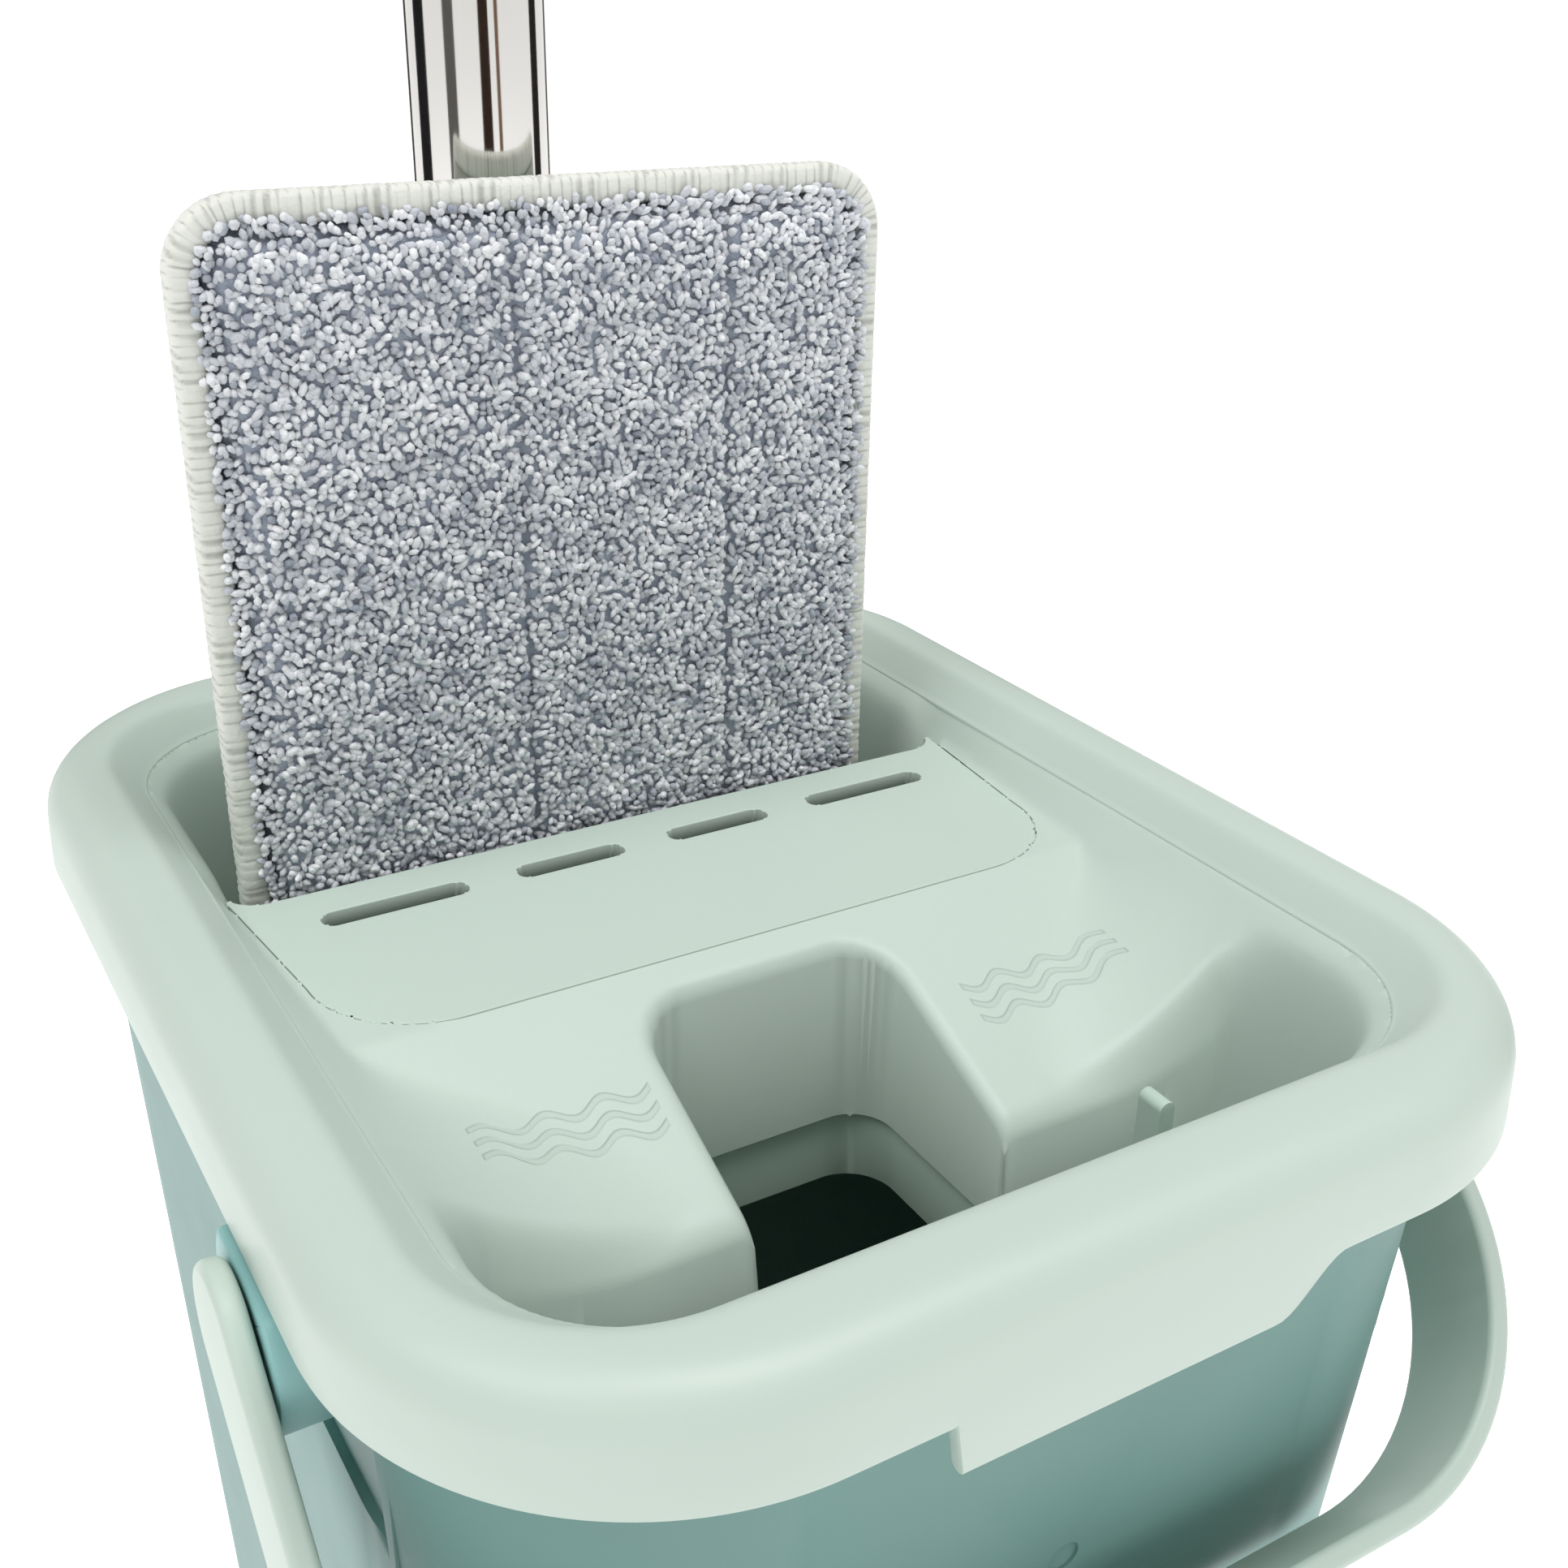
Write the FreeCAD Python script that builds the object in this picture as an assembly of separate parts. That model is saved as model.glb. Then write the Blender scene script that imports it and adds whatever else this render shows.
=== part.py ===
import FreeCAD, Part
import math
import os

# Flat squeeze mop standing in the dry well of its wash-and-wring bucket.
# Millimetres. +Z is up, +X is to the right along the bucket's front, +Y points to the back.
# The origin is on the floor, under the centre of the bucket. Heights on the cover are given as
# a depth below the top of its rim, because everything in the cover hangs from that rim.

os.makedirs("parts", exist_ok=True)
V = FreeCAD.Vector

# ---------------------------------------------------------------- driving dimensions
RIM_TOP = 370.0            # top of the cover's rim above the floor
GAP = 0.3                  # clearance between pieces of different bodies
PIN_PLAY = 0.05            # radial play of a pin in its hole

# bucket
BUCKET_HALF_X = 93.0       # half width of the bucket at the height of the rim's top
BUCKET_HALF_Y = 116.8      # half length there
BUCKET_CORNER = 46.0       # corner radius there
SIDE_TAPER = 0.025         # how far a side wall leans in, per mm of depth
END_TAPER = 0.077          # the same for the front and back walls
CORNER_TAPER = 0.035       # how fast the corner radius shrinks
WALL = 2.4                 # bucket wall
BUCKET_TOP_DEPTH = 4.0     # bucket's top edge, inside the hollow rim of the cover
FLOOR_TOP = 10.0           # inside of the bucket's floor
FLOOR_THICK = 3.0
FOOT_RING = 5.0            # width of the ring that the bucket stands on
LIP = 2.6                  # stiffening lip outside the bucket's top edge
LIP_TOP_DEPTH = 9.0
LIP_HEIGHT = 3.0
DIMPLE_DEPTH = 71.0        # small round dimple on the front wall
DIMPLE_RADIUS = 2.8

# bail and its pivots
PIVOT_Y = -53.0
PIVOT_DEPTH = 28.0
PIN_RADIUS = 5.0
PIN_SEAT = 2.0             # how far a pin is pressed into the bail's arm
PIN_SHORT = 2.0            # play between a pin's end and the pocket's wall
BUSH_RADIUS = 15.0
POCKET_DEEP = 2.0          # pocket in the side wall around the bush
POCKET_HALF = 24.0
POCKET_BELOW = 22.0        # pocket's lower edge below the pivot
POCKET_ABOVE = 10.0
BAIL_INNER_X = 101.3       # inner face of the bail's arms
BAIL_THICK = 4.0
BAIL_WIDTH = 22.2
BAIL_REACH = 88.0          # pivot to the inner face of the cross piece
BAIL_CORNER = 42.5         # inner radius of the bail's two bends
BAIL_DROOP = 43.0          # degrees below level when it rests on the front wall
BAIL_EDGE = 1.4            # rounding of the bail's long edges

# cover
RIM_HALF_X = 99.6
RIM_HALF_Y = 125.0
RIM_CORNER = 51.0
SKIRT_DEPTH = 17.5         # skirt's lower edge
SKIRT_WALL = 2.4
SKIRT_DRAFT = 0.6
RIM_ROUND = 8.0            # round outer edge of the rim
MOUTH_HALF_X = 87.0        # inner edge of the rim's flat top
MOUTH_HALF_Y = 109.0
MOUTH_CORNER = 30.7
CREASE_HALF_X = 80.75      # where the rim's inner slope meets the deck
CREASE_HALF_Y = 104.1
CREASE_CORNER = 28.0
CREASE_DEPTH = 5.6
TRAY_DEPTH = 62.0          # lower edge of the walls that hang into the bucket
TRAY_HALF_X = 77.5
TRAY_HALF_Y = 98.5
TRAY_CORNER = 26.0
COVER_WALL = 2.6
TAB_HALF = 33.0            # pull tab under the front skirt
TAB_DEPTH = 26.0
TAB_RAMP = 11.0

# deck inside the rim
DECK_DEPTH = 12.0          # level part of the deck
DECK_BACK_Y = 35.2         # edge over the dry well
SEAM_Y = -17.0             # front seam of the squeeze panel
DECK_FALL_Y = -56.0        # where the falling part of the deck rolls over
DECK_FALL_DEPTH = 28.3
DECK_FRONT_Y = -66.0       # front wall of the deck, over the wash opening
DECK_ROLL = 10.0
NOTCH_HALF = 25.5          # half width of the notch that the pole passes through
NOTCH_X = -2.5             # its centre, towards the mop's
NOTCH_BACK_Y = -22.0
NOTCH_CORNER = 11.0
NOTCH_DEPTH = 50.0         # lower edge of the notch's own wall

# squeeze panel
PANEL_THICK = 3.0
PANEL_HALF_FRONT = 73.0
PANEL_HALF_BACK = 77.0
PANEL_CORNER = 20.0
PANEL_EAR_Y = 41.0         # tips of the panel's two back corners
PANEL_STRAIGHT = 68.0      # half length of its straight back edge
SEAM_GAP = 0.3
LEDGE = 3.0                # ledge that carries the panel
SLOT_Y = 24.0
SLOT_WIDTH = 5.0
SLOTS = [(-50.25, 27.5), (-15.8, 21.8), (15.8, 21.8), (50.25, 27.5)]   # centre, length
SCRAPER_DEPTH = 58.0       # lower edge of the scraper bar
SCRAPER_THICK = 4.0
LIP_BLADE = 1.4            # soft blade in front of the scraper bar

# wells under the cover
GUIDE_WALL = 2.2
WELL_LEAN = 0.6            # share of the cover's own lean that the dry guide's walls keep
WASH_WALL_TALL = 15.0      # guide wall that shows below the notch
WASH_INSET = 1.2
FLANGE_THICK = 3.0
FLANGE_LIP = 4.0           # how far the flange stands in under the cover's walls
TONGUE_X = 32.0            # upright tongue in the wash opening
TONGUE_Y = -87.0
TONGUE_WIDE = 3.0
TONGUE_THICK = 5.0
TONGUE_TOP_DEPTH = 14.0
DRY_DEPTH = 165.0          # lower edge of the dry well's guide
RIB_OFFSET = 44.0          # guide ribs each side of the pole
RIB_THICK = 2.4
SCREW_X = 60.0             # screws of the wash guide
SCREW_RADIUS = 1.6
SCREW_HEAD = 3.4
SCREW_LONG = 12.0
BOSS_RADIUS = 4.2

# mop head, upright in the dry well
MOP_X = -6.0               # centre of the mop, a little left of the bucket's
PAD_FRONT_Y = 37.0
PAD_WIDTH = 134.0
PAD_LENGTH = 330.0
PAD_CORNER = 13.0
PAD_TOP_UP = 109.0         # pad's top edge above the rim
PILE_THICK = 7.5
BACKING_THICK = 2.0
BINDING_WIDTH = 5.5
BINDING_THICK = 5.5
HOOK_THICK = 1.0
HOOK_WIDTH = 24.0
HOOK_LENGTH = 250.0
HOOK_OFFSET = 38.0
PLATE_WIDTH = 114.0
PLATE_LENGTH = 312.0
PLATE_CORNER = 10.0
PLATE_THICK = 4.0
PLATE_RIB = 4.5
PLATE_RIB_WIDE = 2.4

# joint between head and pole
POLE_Y = 75.0
HINGE_DEPTH = 56.0         # pitch axis, at the middle of the plate
LUG_INNER = 20.0
LUG_THICK = 5.0
LUG_RADIUS = 9.0
PITCH_PIN = 4.0
BARREL_RADIUS = 8.5
SWAY_UP = 28.0             # sway axis above the pitch axis
SWAY_PIN = 3.0
TONGUE_HALF = 9.0          # knuckle's upright tongue, half width
KNUCKLE_THICK = 8.0
CHEEK_THICK = 5.0

# pole
TUBE_RADIUS = 12.5
TUBE_WALL = 0.8
SOCKET_RADIUS = 15.0
SOCKET_TALL = 64.0
SOCKET_FLOOR = 16.0        # solid bottom of the socket, above the fork
TUBE_LONG = 290.0          # length of each of the lower tubes
TOP_TUBE_LONG = 250.0
COLLAR_TALL = 3.0          # ring that shows between two tubes
COLLAR_PROUD = 0.4
SPIGOT_LONG = 25.0
GRIP_LONG = 150.0
GRIP_RADIUS = 15.5
GRIP_GROOVES = 9
GROOVE_RADIUS = 1.2
CAP_TALL = 32.0
HANG_RADIUS = 5.0
CAP_THICK = 12.0
EYE_CLEAR = 8.0            # gap left between the cap's collar and its flat


# ---------------------------------------------------------------- helpers
def height(depth):
    """Height above the floor of a place that is depth below the rim's top."""
    return RIM_TOP - depth


def save(name, shape):
    """Write one piece, and say how many solids it holds."""
    shape.exportStep("parts/" + name + ".step")
    print(name, len(shape.Solids), round(shape.Volume), shape.isValid())


def box(low, high):
    """Box between two corners."""
    size = [high[i] - low[i] for i in range(3)]
    return Part.makeBox(size[0], size[1], size[2], V(*low))


def rod(radius, start, axis, length):
    return Part.makeCylinder(radius, length, V(*start), V(*axis))


def joined(shapes):
    """One solid from pieces that overlap or touch."""
    return shapes[0].multiFuse(shapes[1:]).removeSplitter()


def rounded_outline(half_x, half_y, radius, z):
    """Rounded rectangle centred on the Z axis, as a closed wire."""
    middle_x = half_x - radius
    middle_y = half_y - radius
    corners = []
    for sign_x, sign_y, start in [(1, 1, 0), (-1, 1, 90), (-1, -1, 180), (1, -1, 270)]:
        centre = V(sign_x * middle_x, sign_y * middle_y, z)
        turns = [math.radians(start + part) for part in (0, 45, 90)]
        corners.append([centre + V(math.cos(t), math.sin(t), 0) * radius for t in turns])
    edges = []
    for number, (first, middle, last) in enumerate(corners):
        edges.append(Part.Arc(first, middle, last).toShape())
        edges.append(Part.LineSegment(last, corners[(number + 1) % 4][0]).toShape())
    return Part.Wire(edges)


def tapered(sections):
    """Solid through rounded rectangles given as (half_x, half_y, radius, z)."""
    return Part.makeLoft([rounded_outline(*section) for section in sections], True, True)


def upright_slab(half_x, half_z, radius, centre_x, centre_z, front_y, back_y):
    """Rounded rectangle in the XZ plane, from front_y to back_y."""
    face = Part.Face(rounded_outline(half_x, half_z, radius, 0))
    slab = face.extrude(V(0, 0, back_y - front_y))
    slab.rotate(V(0, 0, 0), V(1, 0, 0), 90)
    slab.translate(V(centre_x, back_y, centre_z))
    return slab


def edges_at(shape, z, inside=None):
    """Edges that lie wholly at height z; inside keeps those within that half width in X."""
    kept = []
    for edge in shape.Edges:
        limits = edge.BoundBox
        level = abs(limits.ZMin - z) < 0.01 and abs(limits.ZMax - z) < 0.01
        if level and (inside is None or max(-limits.XMin, limits.XMax) < inside):
            kept.append(edge)
    return kept


# ---------------------------------------------------------------- bucket
def bucket_section(z, inset=0.0):
    """The bucket's outline at height z, moved in by inset."""
    depth = RIM_TOP - z
    half_x = BUCKET_HALF_X - SIDE_TAPER * depth - inset
    half_y = BUCKET_HALF_Y - END_TAPER * depth - inset
    corner = BUCKET_CORNER - CORNER_TAPER * depth - inset
    return half_x, half_y, corner, z


PIVOT_Z = height(PIVOT_DEPTH)
WALL_AT_PIVOT = bucket_section(PIVOT_Z)[0]
POCKET_FACE = WALL_AT_PIVOT - POCKET_DEEP
BUSH_FACE = BAIL_INNER_X - GAP - 0.2


def bucket_shell():
    top = height(BUCKET_TOP_DEPTH)
    body = tapered([bucket_section(0.0), bucket_section(top)])
    lip_top = height(LIP_TOP_DEPTH)
    lip = tapered([bucket_section(lip_top - LIP_HEIGHT, -LIP), bucket_section(lip_top, -LIP)])
    body = joined([body, lip])
    body = body.cut(tapered([bucket_section(FLOOR_TOP, WALL), bucket_section(RIM_TOP, WALL)]))
    under = FLOOR_TOP - FLOOR_THICK
    body = body.cut(tapered([bucket_section(-1.0, FOOT_RING), bucket_section(under, FOOT_RING)]))
    for side in (-1, 1):
        pad_low = PIVOT_Z - POCKET_BELOW - 2 * WALL
        pad_high = PIVOT_Z + POCKET_ABOVE + WALL
        half = POCKET_HALF + WALL
        edge_x = sorted([side * (POCKET_FACE - WALL), side * (POCKET_FACE + 0.5)])
        pad = box((edge_x[0], PIVOT_Y - half, pad_low), (edge_x[1], PIVOT_Y + half, pad_high))
        body = joined([body, pad])
        edge_x = sorted([side * POCKET_FACE, side * (WALL_AT_PIVOT + 1.0)])
        low = (edge_x[0], PIVOT_Y - POCKET_HALF, PIVOT_Z - POCKET_BELOW)
        high = (edge_x[1], PIVOT_Y + POCKET_HALF, PIVOT_Z + POCKET_ABOVE)
        body = body.cut(box(low, high))
    dimple_z = height(DIMPLE_DEPTH)
    dimple_y = -bucket_section(dimple_z)[1]
    dimple = rod(DIMPLE_RADIUS, (0, dimple_y - 2.0, dimple_z), (0, 1, 0), 2.6)
    return body.cut(dimple)


def pivot_bush(side):
    """Round bush that stands in the pocket of the side wall and takes the bail's pin."""
    start = (side * POCKET_FACE, PIVOT_Y, PIVOT_Z)
    length = BUSH_FACE - POCKET_FACE
    disc = rod(BUSH_RADIUS, start, (side, 0, 0), length)
    low = (-BUSH_FACE - 1, PIVOT_Y - BUSH_RADIUS, PIVOT_Z + POCKET_ABOVE)
    high = (BUSH_FACE + 1, PIVOT_Y + BUSH_RADIUS, PIVOT_Z + BUSH_RADIUS)
    disc = disc.cut(box(low, high))
    return disc.cut(rod(PIN_RADIUS + PIN_PLAY, start, (side, 0, 0), length + 1))


# ---------------------------------------------------------------- bail
def bail_outline(half_span, reach, corner):
    """U in the XY plane, closed across its open end at y = 0."""
    straight = -(reach - corner)
    middle = corner * (1 - math.sqrt(0.5))
    points = [V(-half_span, 0, 0), V(-half_span, straight, 0)]
    edges = [Part.LineSegment(points[0], points[1]).toShape()]
    last = points[1]
    for sign in (-1, 1):
        start = V(sign * half_span, straight, 0)
        bend = V(sign * (half_span - middle), -reach + middle, 0)
        end = V(sign * (half_span - corner), -reach, 0)
        if sign == -1:
            edges.append(Part.Arc(start, bend, end).toShape())
            last = end
        else:
            edges.append(Part.LineSegment(last, end).toShape())
            edges.append(Part.Arc(end, bend, start).toShape())
            last = start
    edges.append(Part.LineSegment(last, V(half_span, 0, 0)).toShape())
    edges.append(Part.LineSegment(V(half_span, 0, 0), points[0]).toShape())
    return Part.Face(Part.Wire(edges))


def bail_handle():
    thick = BAIL_THICK
    outer = bail_outline(BAIL_INNER_X + thick, BAIL_REACH + thick, BAIL_CORNER + thick)
    inner = bail_outline(BAIL_INNER_X, BAIL_REACH, BAIL_CORNER)
    band = outer.cut(inner).extrude(V(0, 0, BAIL_WIDTH))
    band.translate(V(0, 0, -BAIL_WIDTH / 2))
    pieces = [band]
    for side in (-1, 1):
        start = (side * BAIL_INNER_X, 0, 0)
        pieces.append(rod(BAIL_WIDTH / 2, start, (side, 0, 0), BAIL_THICK))
    bail = joined(pieces)
    rim_edges = []
    for edge in bail.Edges:
        limits = edge.BoundBox
        if abs(abs(limits.ZMin) - BAIL_WIDTH / 2) < 0.01 and limits.ZLength < 0.01:
            rim_edges.append(edge)
    bail = bail.makeFillet(BAIL_EDGE, rim_edges)
    for side in (-1, 1):
        bail = bail.cut(rod(PIN_RADIUS, (side * (BAIL_INNER_X - 1), 0, 0), (side, 0, 0), PIN_SEAT + 1))
    bail.rotate(V(0, 0, 0), V(1, 0, 0), BAIL_DROOP)
    bail.translate(V(0, PIVOT_Y, PIVOT_Z))
    return bail


def bail_pin(side):
    """Stud pressed into the bail's arm, that turns in the bush."""
    inner_end = POCKET_FACE + PIN_SHORT
    length = BAIL_INNER_X + PIN_SEAT - inner_end
    return rod(PIN_RADIUS, (side * inner_end, PIVOT_Y, PIVOT_Z), (side, 0, 0), length)


# ---------------------------------------------------------------- cover
CREASE_Z = height(CREASE_DEPTH)
TRAY_Z = height(TRAY_DEPTH)
DECK_Z = height(DECK_DEPTH)


def tray(grow):
    """Space inside the walls that hang into the bucket, grown by a wall."""
    return tapered([
        (TRAY_HALF_X + grow, TRAY_HALF_Y + grow, TRAY_CORNER + grow, TRAY_Z),
        (CREASE_HALF_X + grow, CREASE_HALF_Y + grow, CREASE_CORNER + grow, CREASE_Z),
    ])


def deck_profile(inset):
    """Section of the deck in the YZ plane, its top and front moved in by inset, extruded in X."""
    slope = math.atan2(DECK_FALL_DEPTH - DECK_DEPTH, SEAM_Y - DECK_FALL_Y)
    top = DECK_Z - inset
    front = DECK_FRONT_Y + inset
    roll = max(DECK_ROLL - inset, 1.0)
    seam_y = SEAM_Y + inset * math.tan(slope / 2)
    # The roll touches the falling line and the front wall.
    roll_y = front + roll
    fall_at = top - (seam_y - roll_y) * math.tan(slope)
    roll_z = fall_at - roll / math.cos(slope)
    touch = V(0, roll_y - roll * math.sin(slope), roll_z + roll * math.cos(slope))
    turn = (math.pi / 2 + slope) / 2 + math.pi / 4
    middle = V(0, roll_y + roll * math.cos(math.pi / 4 + turn), roll_z + roll * math.sin(math.pi / 4 + turn))
    side = V(0, front, roll_z)
    back = V(0, DECK_BACK_Y, top)
    seam = V(0, seam_y, top)
    low_front = V(0, front, TRAY_Z)
    low_back = V(0, DECK_BACK_Y, TRAY_Z)
    edges = [
        Part.LineSegment(back, seam).toShape(),
        Part.LineSegment(seam, touch).toShape(),
        Part.Arc(touch, middle, side).toShape(),
        Part.LineSegment(side, low_front).toShape(),
        Part.LineSegment(low_front, low_back).toShape(),
        Part.LineSegment(low_back, back).toShape(),
    ]
    face = Part.Face(Part.Wire(edges))
    block = face.extrude(V(2 * RIM_HALF_X, 0, 0))
    block.translate(V(-RIM_HALF_X, 0, 0))
    return block


def notch_block(grow, low, high):
    """Upright block with the notch's outline, open at the front, grown by a wall."""
    half = NOTCH_HALF + grow
    back = NOTCH_BACK_Y + grow
    front = DECK_FRONT_Y - 2 * COVER_WALL
    reach = (back - front) / 2 + 30.0
    face = Part.Face(rounded_outline(half, reach, NOTCH_CORNER + grow, 0))
    block = face.extrude(V(0, 0, high - low))
    block.translate(V(NOTCH_X, back - reach, low))
    return block.common(box((NOTCH_X - half - 1, front, low), (NOTCH_X + half + 1, back + 1, high)))


def panel_outline(gap, z):
    """Outline of the squeeze panel, moved out by gap."""
    front = SEAM_Y - gap
    half_front = PANEL_HALF_FRONT + gap
    half_back = PANEL_HALF_BACK + gap
    ear = PANEL_EAR_Y + gap
    straight = DECK_BACK_Y
    corner = PANEL_CORNER + gap
    middle = corner * (1 - math.sqrt(0.5))
    right = [
        V(half_front - corner, front, z),
        V(half_front - middle, front + middle, z),
        V(half_front, front + corner, z),
        V(half_back, ear, z),
        V((half_back + PANEL_STRAIGHT) / 2 + 1.0, (ear + straight) / 2 - 2.0, z),
        V(PANEL_STRAIGHT, straight, z),
    ]
    left = [V(-point.x, point.y, z) for point in right]
    edges = [
        Part.LineSegment(left[0], right[0]).toShape(),
        Part.Arc(right[0], right[1], right[2]).toShape(),
        Part.LineSegment(right[2], right[3]).toShape(),
        Part.Arc(right[3], right[4], right[5]).toShape(),
        Part.LineSegment(right[5], left[5]).toShape(),
        Part.Arc(left[5], left[4], left[3]).toShape(),
        Part.LineSegment(left[3], left[2]).toShape(),
        Part.Arc(left[2], left[1], left[0]).toShape(),
    ]
    return Part.Face(Part.Wire(edges))


WASH_SCREW_Y = NOTCH_BACK_Y - 12.0
DRY_SCREW_X = PANEL_HALF_FRONT + SEAM_GAP
DRY_SCREW_Y = DECK_BACK_Y - SCRAPER_THICK - 12.0


def screw_places():
    """The four screws under the cover: two hold the wash guide, then two hold the dry guide."""
    wash = [(side * SCREW_X, WASH_SCREW_Y) for side in (-1, 1)]
    dry = [(side * DRY_SCREW_X, DRY_SCREW_Y) for side in (-1, 1)]
    return wash + dry


def rim():
    """Broad round rim with its skirt, hollow below for the bucket's edge."""
    skirt = height(SKIRT_DEPTH)
    ring = tapered([
        (RIM_HALF_X - SKIRT_DRAFT, RIM_HALF_Y - SKIRT_DRAFT, RIM_CORNER - SKIRT_DRAFT, skirt),
        (RIM_HALF_X, RIM_HALF_Y, RIM_CORNER, RIM_TOP),
    ])
    ring = ring.makeFillet(RIM_ROUND, edges_at(ring, RIM_TOP))
    mouth = tapered([
        (CREASE_HALF_X, CREASE_HALF_Y, CREASE_CORNER, CREASE_Z),
        (MOUTH_HALF_X, MOUTH_HALF_Y, MOUTH_CORNER, RIM_TOP),
    ])
    ring = ring.cut(mouth)
    edge_top = height(BUCKET_TOP_DEPTH)
    outside = bucket_section(edge_top, -GAP)
    wide = RIM_HALF_X - SKIRT_DRAFT - SKIRT_WALL
    long = RIM_HALF_Y - SKIRT_DRAFT - SKIRT_WALL
    corner = RIM_CORNER - SKIRT_DRAFT - SKIRT_WALL
    shoulder = height(LIP_TOP_DEPTH) + GAP
    channel = tapered([
        (wide, long, corner, skirt - 1.0),
        (wide, long, corner, shoulder),
        (outside[0], outside[1], outside[2], edge_top + GAP),
    ])
    inner = tapered([
        (CREASE_HALF_X + COVER_WALL, CREASE_HALF_Y + COVER_WALL, CREASE_CORNER + COVER_WALL, skirt - 2.0),
        (CREASE_HALF_X + COVER_WALL, CREASE_HALF_Y + COVER_WALL, CREASE_CORNER + COVER_WALL, RIM_TOP),
    ])
    return ring.cut(channel.cut(inner))


def pull_tab():
    """Tab under the front skirt: a square step on the left and a ramp on the right."""
    top = height(SKIRT_DEPTH) + 1.0
    low = height(TAB_DEPTH)
    points = [V(-TAB_HALF, 0, top), V(-TAB_HALF, 0, low)]
    points += [V(TAB_HALF - TAB_RAMP, 0, low), V(TAB_HALF, 0, top), V(-TAB_HALF, 0, top)]
    tab = Part.Face(Part.makePolygon(points)).extrude(V(0, SKIRT_WALL, 0))
    tab.translate(V(0, -RIM_HALF_Y + SKIRT_DRAFT, 0))
    return tab


def top_cover():
    ring = rim().cut(tray(0.0))
    walls = tray(COVER_WALL).cut(tray(0.0))
    skin = deck_profile(0.0).cut(deck_profile(COVER_WALL))
    notch_wall = notch_block(COVER_WALL, height(NOTCH_DEPTH), RIM_TOP).common(deck_profile(0.0))
    ledge_low = DECK_Z - PANEL_THICK - LEDGE
    ledge_face = panel_outline(LEDGE, ledge_low)
    ledge = ledge_face.extrude(V(0, 0, PANEL_THICK + LEDGE)).common(deck_profile(0.0))
    deck = joined([skin, notch_wall, ledge])
    bosses = []
    for x, y in screw_places():
        boss = rod(BOSS_RADIUS, (x, y, TRAY_Z), (0, 0, 1), TRAY_DEPTH)
        bosses.append(boss.common(deck_profile(0.5)))
    deck = joined([deck] + bosses)
    recess = panel_outline(SEAM_GAP, DECK_Z - PANEL_THICK).extrude(V(0, 0, DECK_DEPTH))
    deck = deck.cut(recess)
    hole = panel_outline(-LEDGE, ledge_low - 1.0).extrude(V(0, 0, DECK_DEPTH + LEDGE))
    deck = deck.cut(hole.cut(Part.makeCompound(bosses)))
    blade_slot = DECK_BACK_Y - LIP_BLADE - SCRAPER_THICK - GAP
    slot_half = PANEL_HALF_FRONT + SEAM_GAP
    deck = deck.cut(box((-slot_half, blade_slot, TRAY_Z), (slot_half, RIM_HALF_Y, RIM_TOP)))
    deck = deck.cut(notch_block(0.0, TRAY_Z - 1.0, RIM_TOP))
    below = height(NOTCH_DEPTH)
    half = NOTCH_HALF + COVER_WALL + 0.5
    trim_back = NOTCH_BACK_Y + COVER_WALL + 0.5
    trim = box((NOTCH_X - half, DECK_FRONT_Y - 1, TRAY_Z - 1), (NOTCH_X + half, trim_back, below))
    deck = deck.cut(trim)
    for x, y in screw_places():
        deck = deck.cut(rod(SCREW_RADIUS, (x, y, TRAY_Z - 1), (0, 0, 1), SCREW_LONG + 1))
    deck = deck.common(tray(COVER_WALL / 2))
    return joined([ring, walls, deck, pull_tab()])


# ---------------------------------------------------------------- what hangs in the cover
def squeeze_panel():
    panel = panel_outline(0.0, DECK_Z - PANEL_THICK).extrude(V(0, 0, PANEL_THICK))
    for centre, length in SLOTS:
        face = Part.Face(rounded_outline(length / 2, SLOT_WIDTH / 2, SLOT_WIDTH / 2 - 0.01, 0))
        slot = face.extrude(V(0, 0, PANEL_THICK + 2))
        slot.translate(V(centre, SLOT_Y, DECK_Z - PANEL_THICK - 1))
        panel = panel.cut(slot)
    return panel


def scraper_bar():
    """Rigid bar under the panel's back edge, which carries the soft blade."""
    back = DECK_BACK_Y - LIP_BLADE
    top = DECK_Z - PANEL_THICK
    low = (-PANEL_STRAIGHT, back - SCRAPER_THICK, height(SCRAPER_DEPTH))
    return box(low, (PANEL_STRAIGHT, back, top))


def squeeze_lip():
    """Soft blade along the scraper bar, which wipes the pad."""
    back = DECK_BACK_Y + LIP_BLADE
    top = DECK_Z - PANEL_THICK
    web_front = DECK_BACK_Y - LIP_BLADE
    web = box((-PANEL_STRAIGHT, web_front, height(SCRAPER_DEPTH)), (PANEL_STRAIGHT, DECK_BACK_Y, top))
    blade_low = top - 6.0
    blade = box((-PANEL_STRAIGHT, DECK_BACK_Y - LIP_BLADE, blade_low), (PANEL_STRAIGHT, back, top + 1.6))
    blade = blade.cut(box((-RIM_HALF_X, 0, top), (RIM_HALF_X, DECK_BACK_Y, RIM_TOP)))
    return joined([web, blade])


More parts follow.
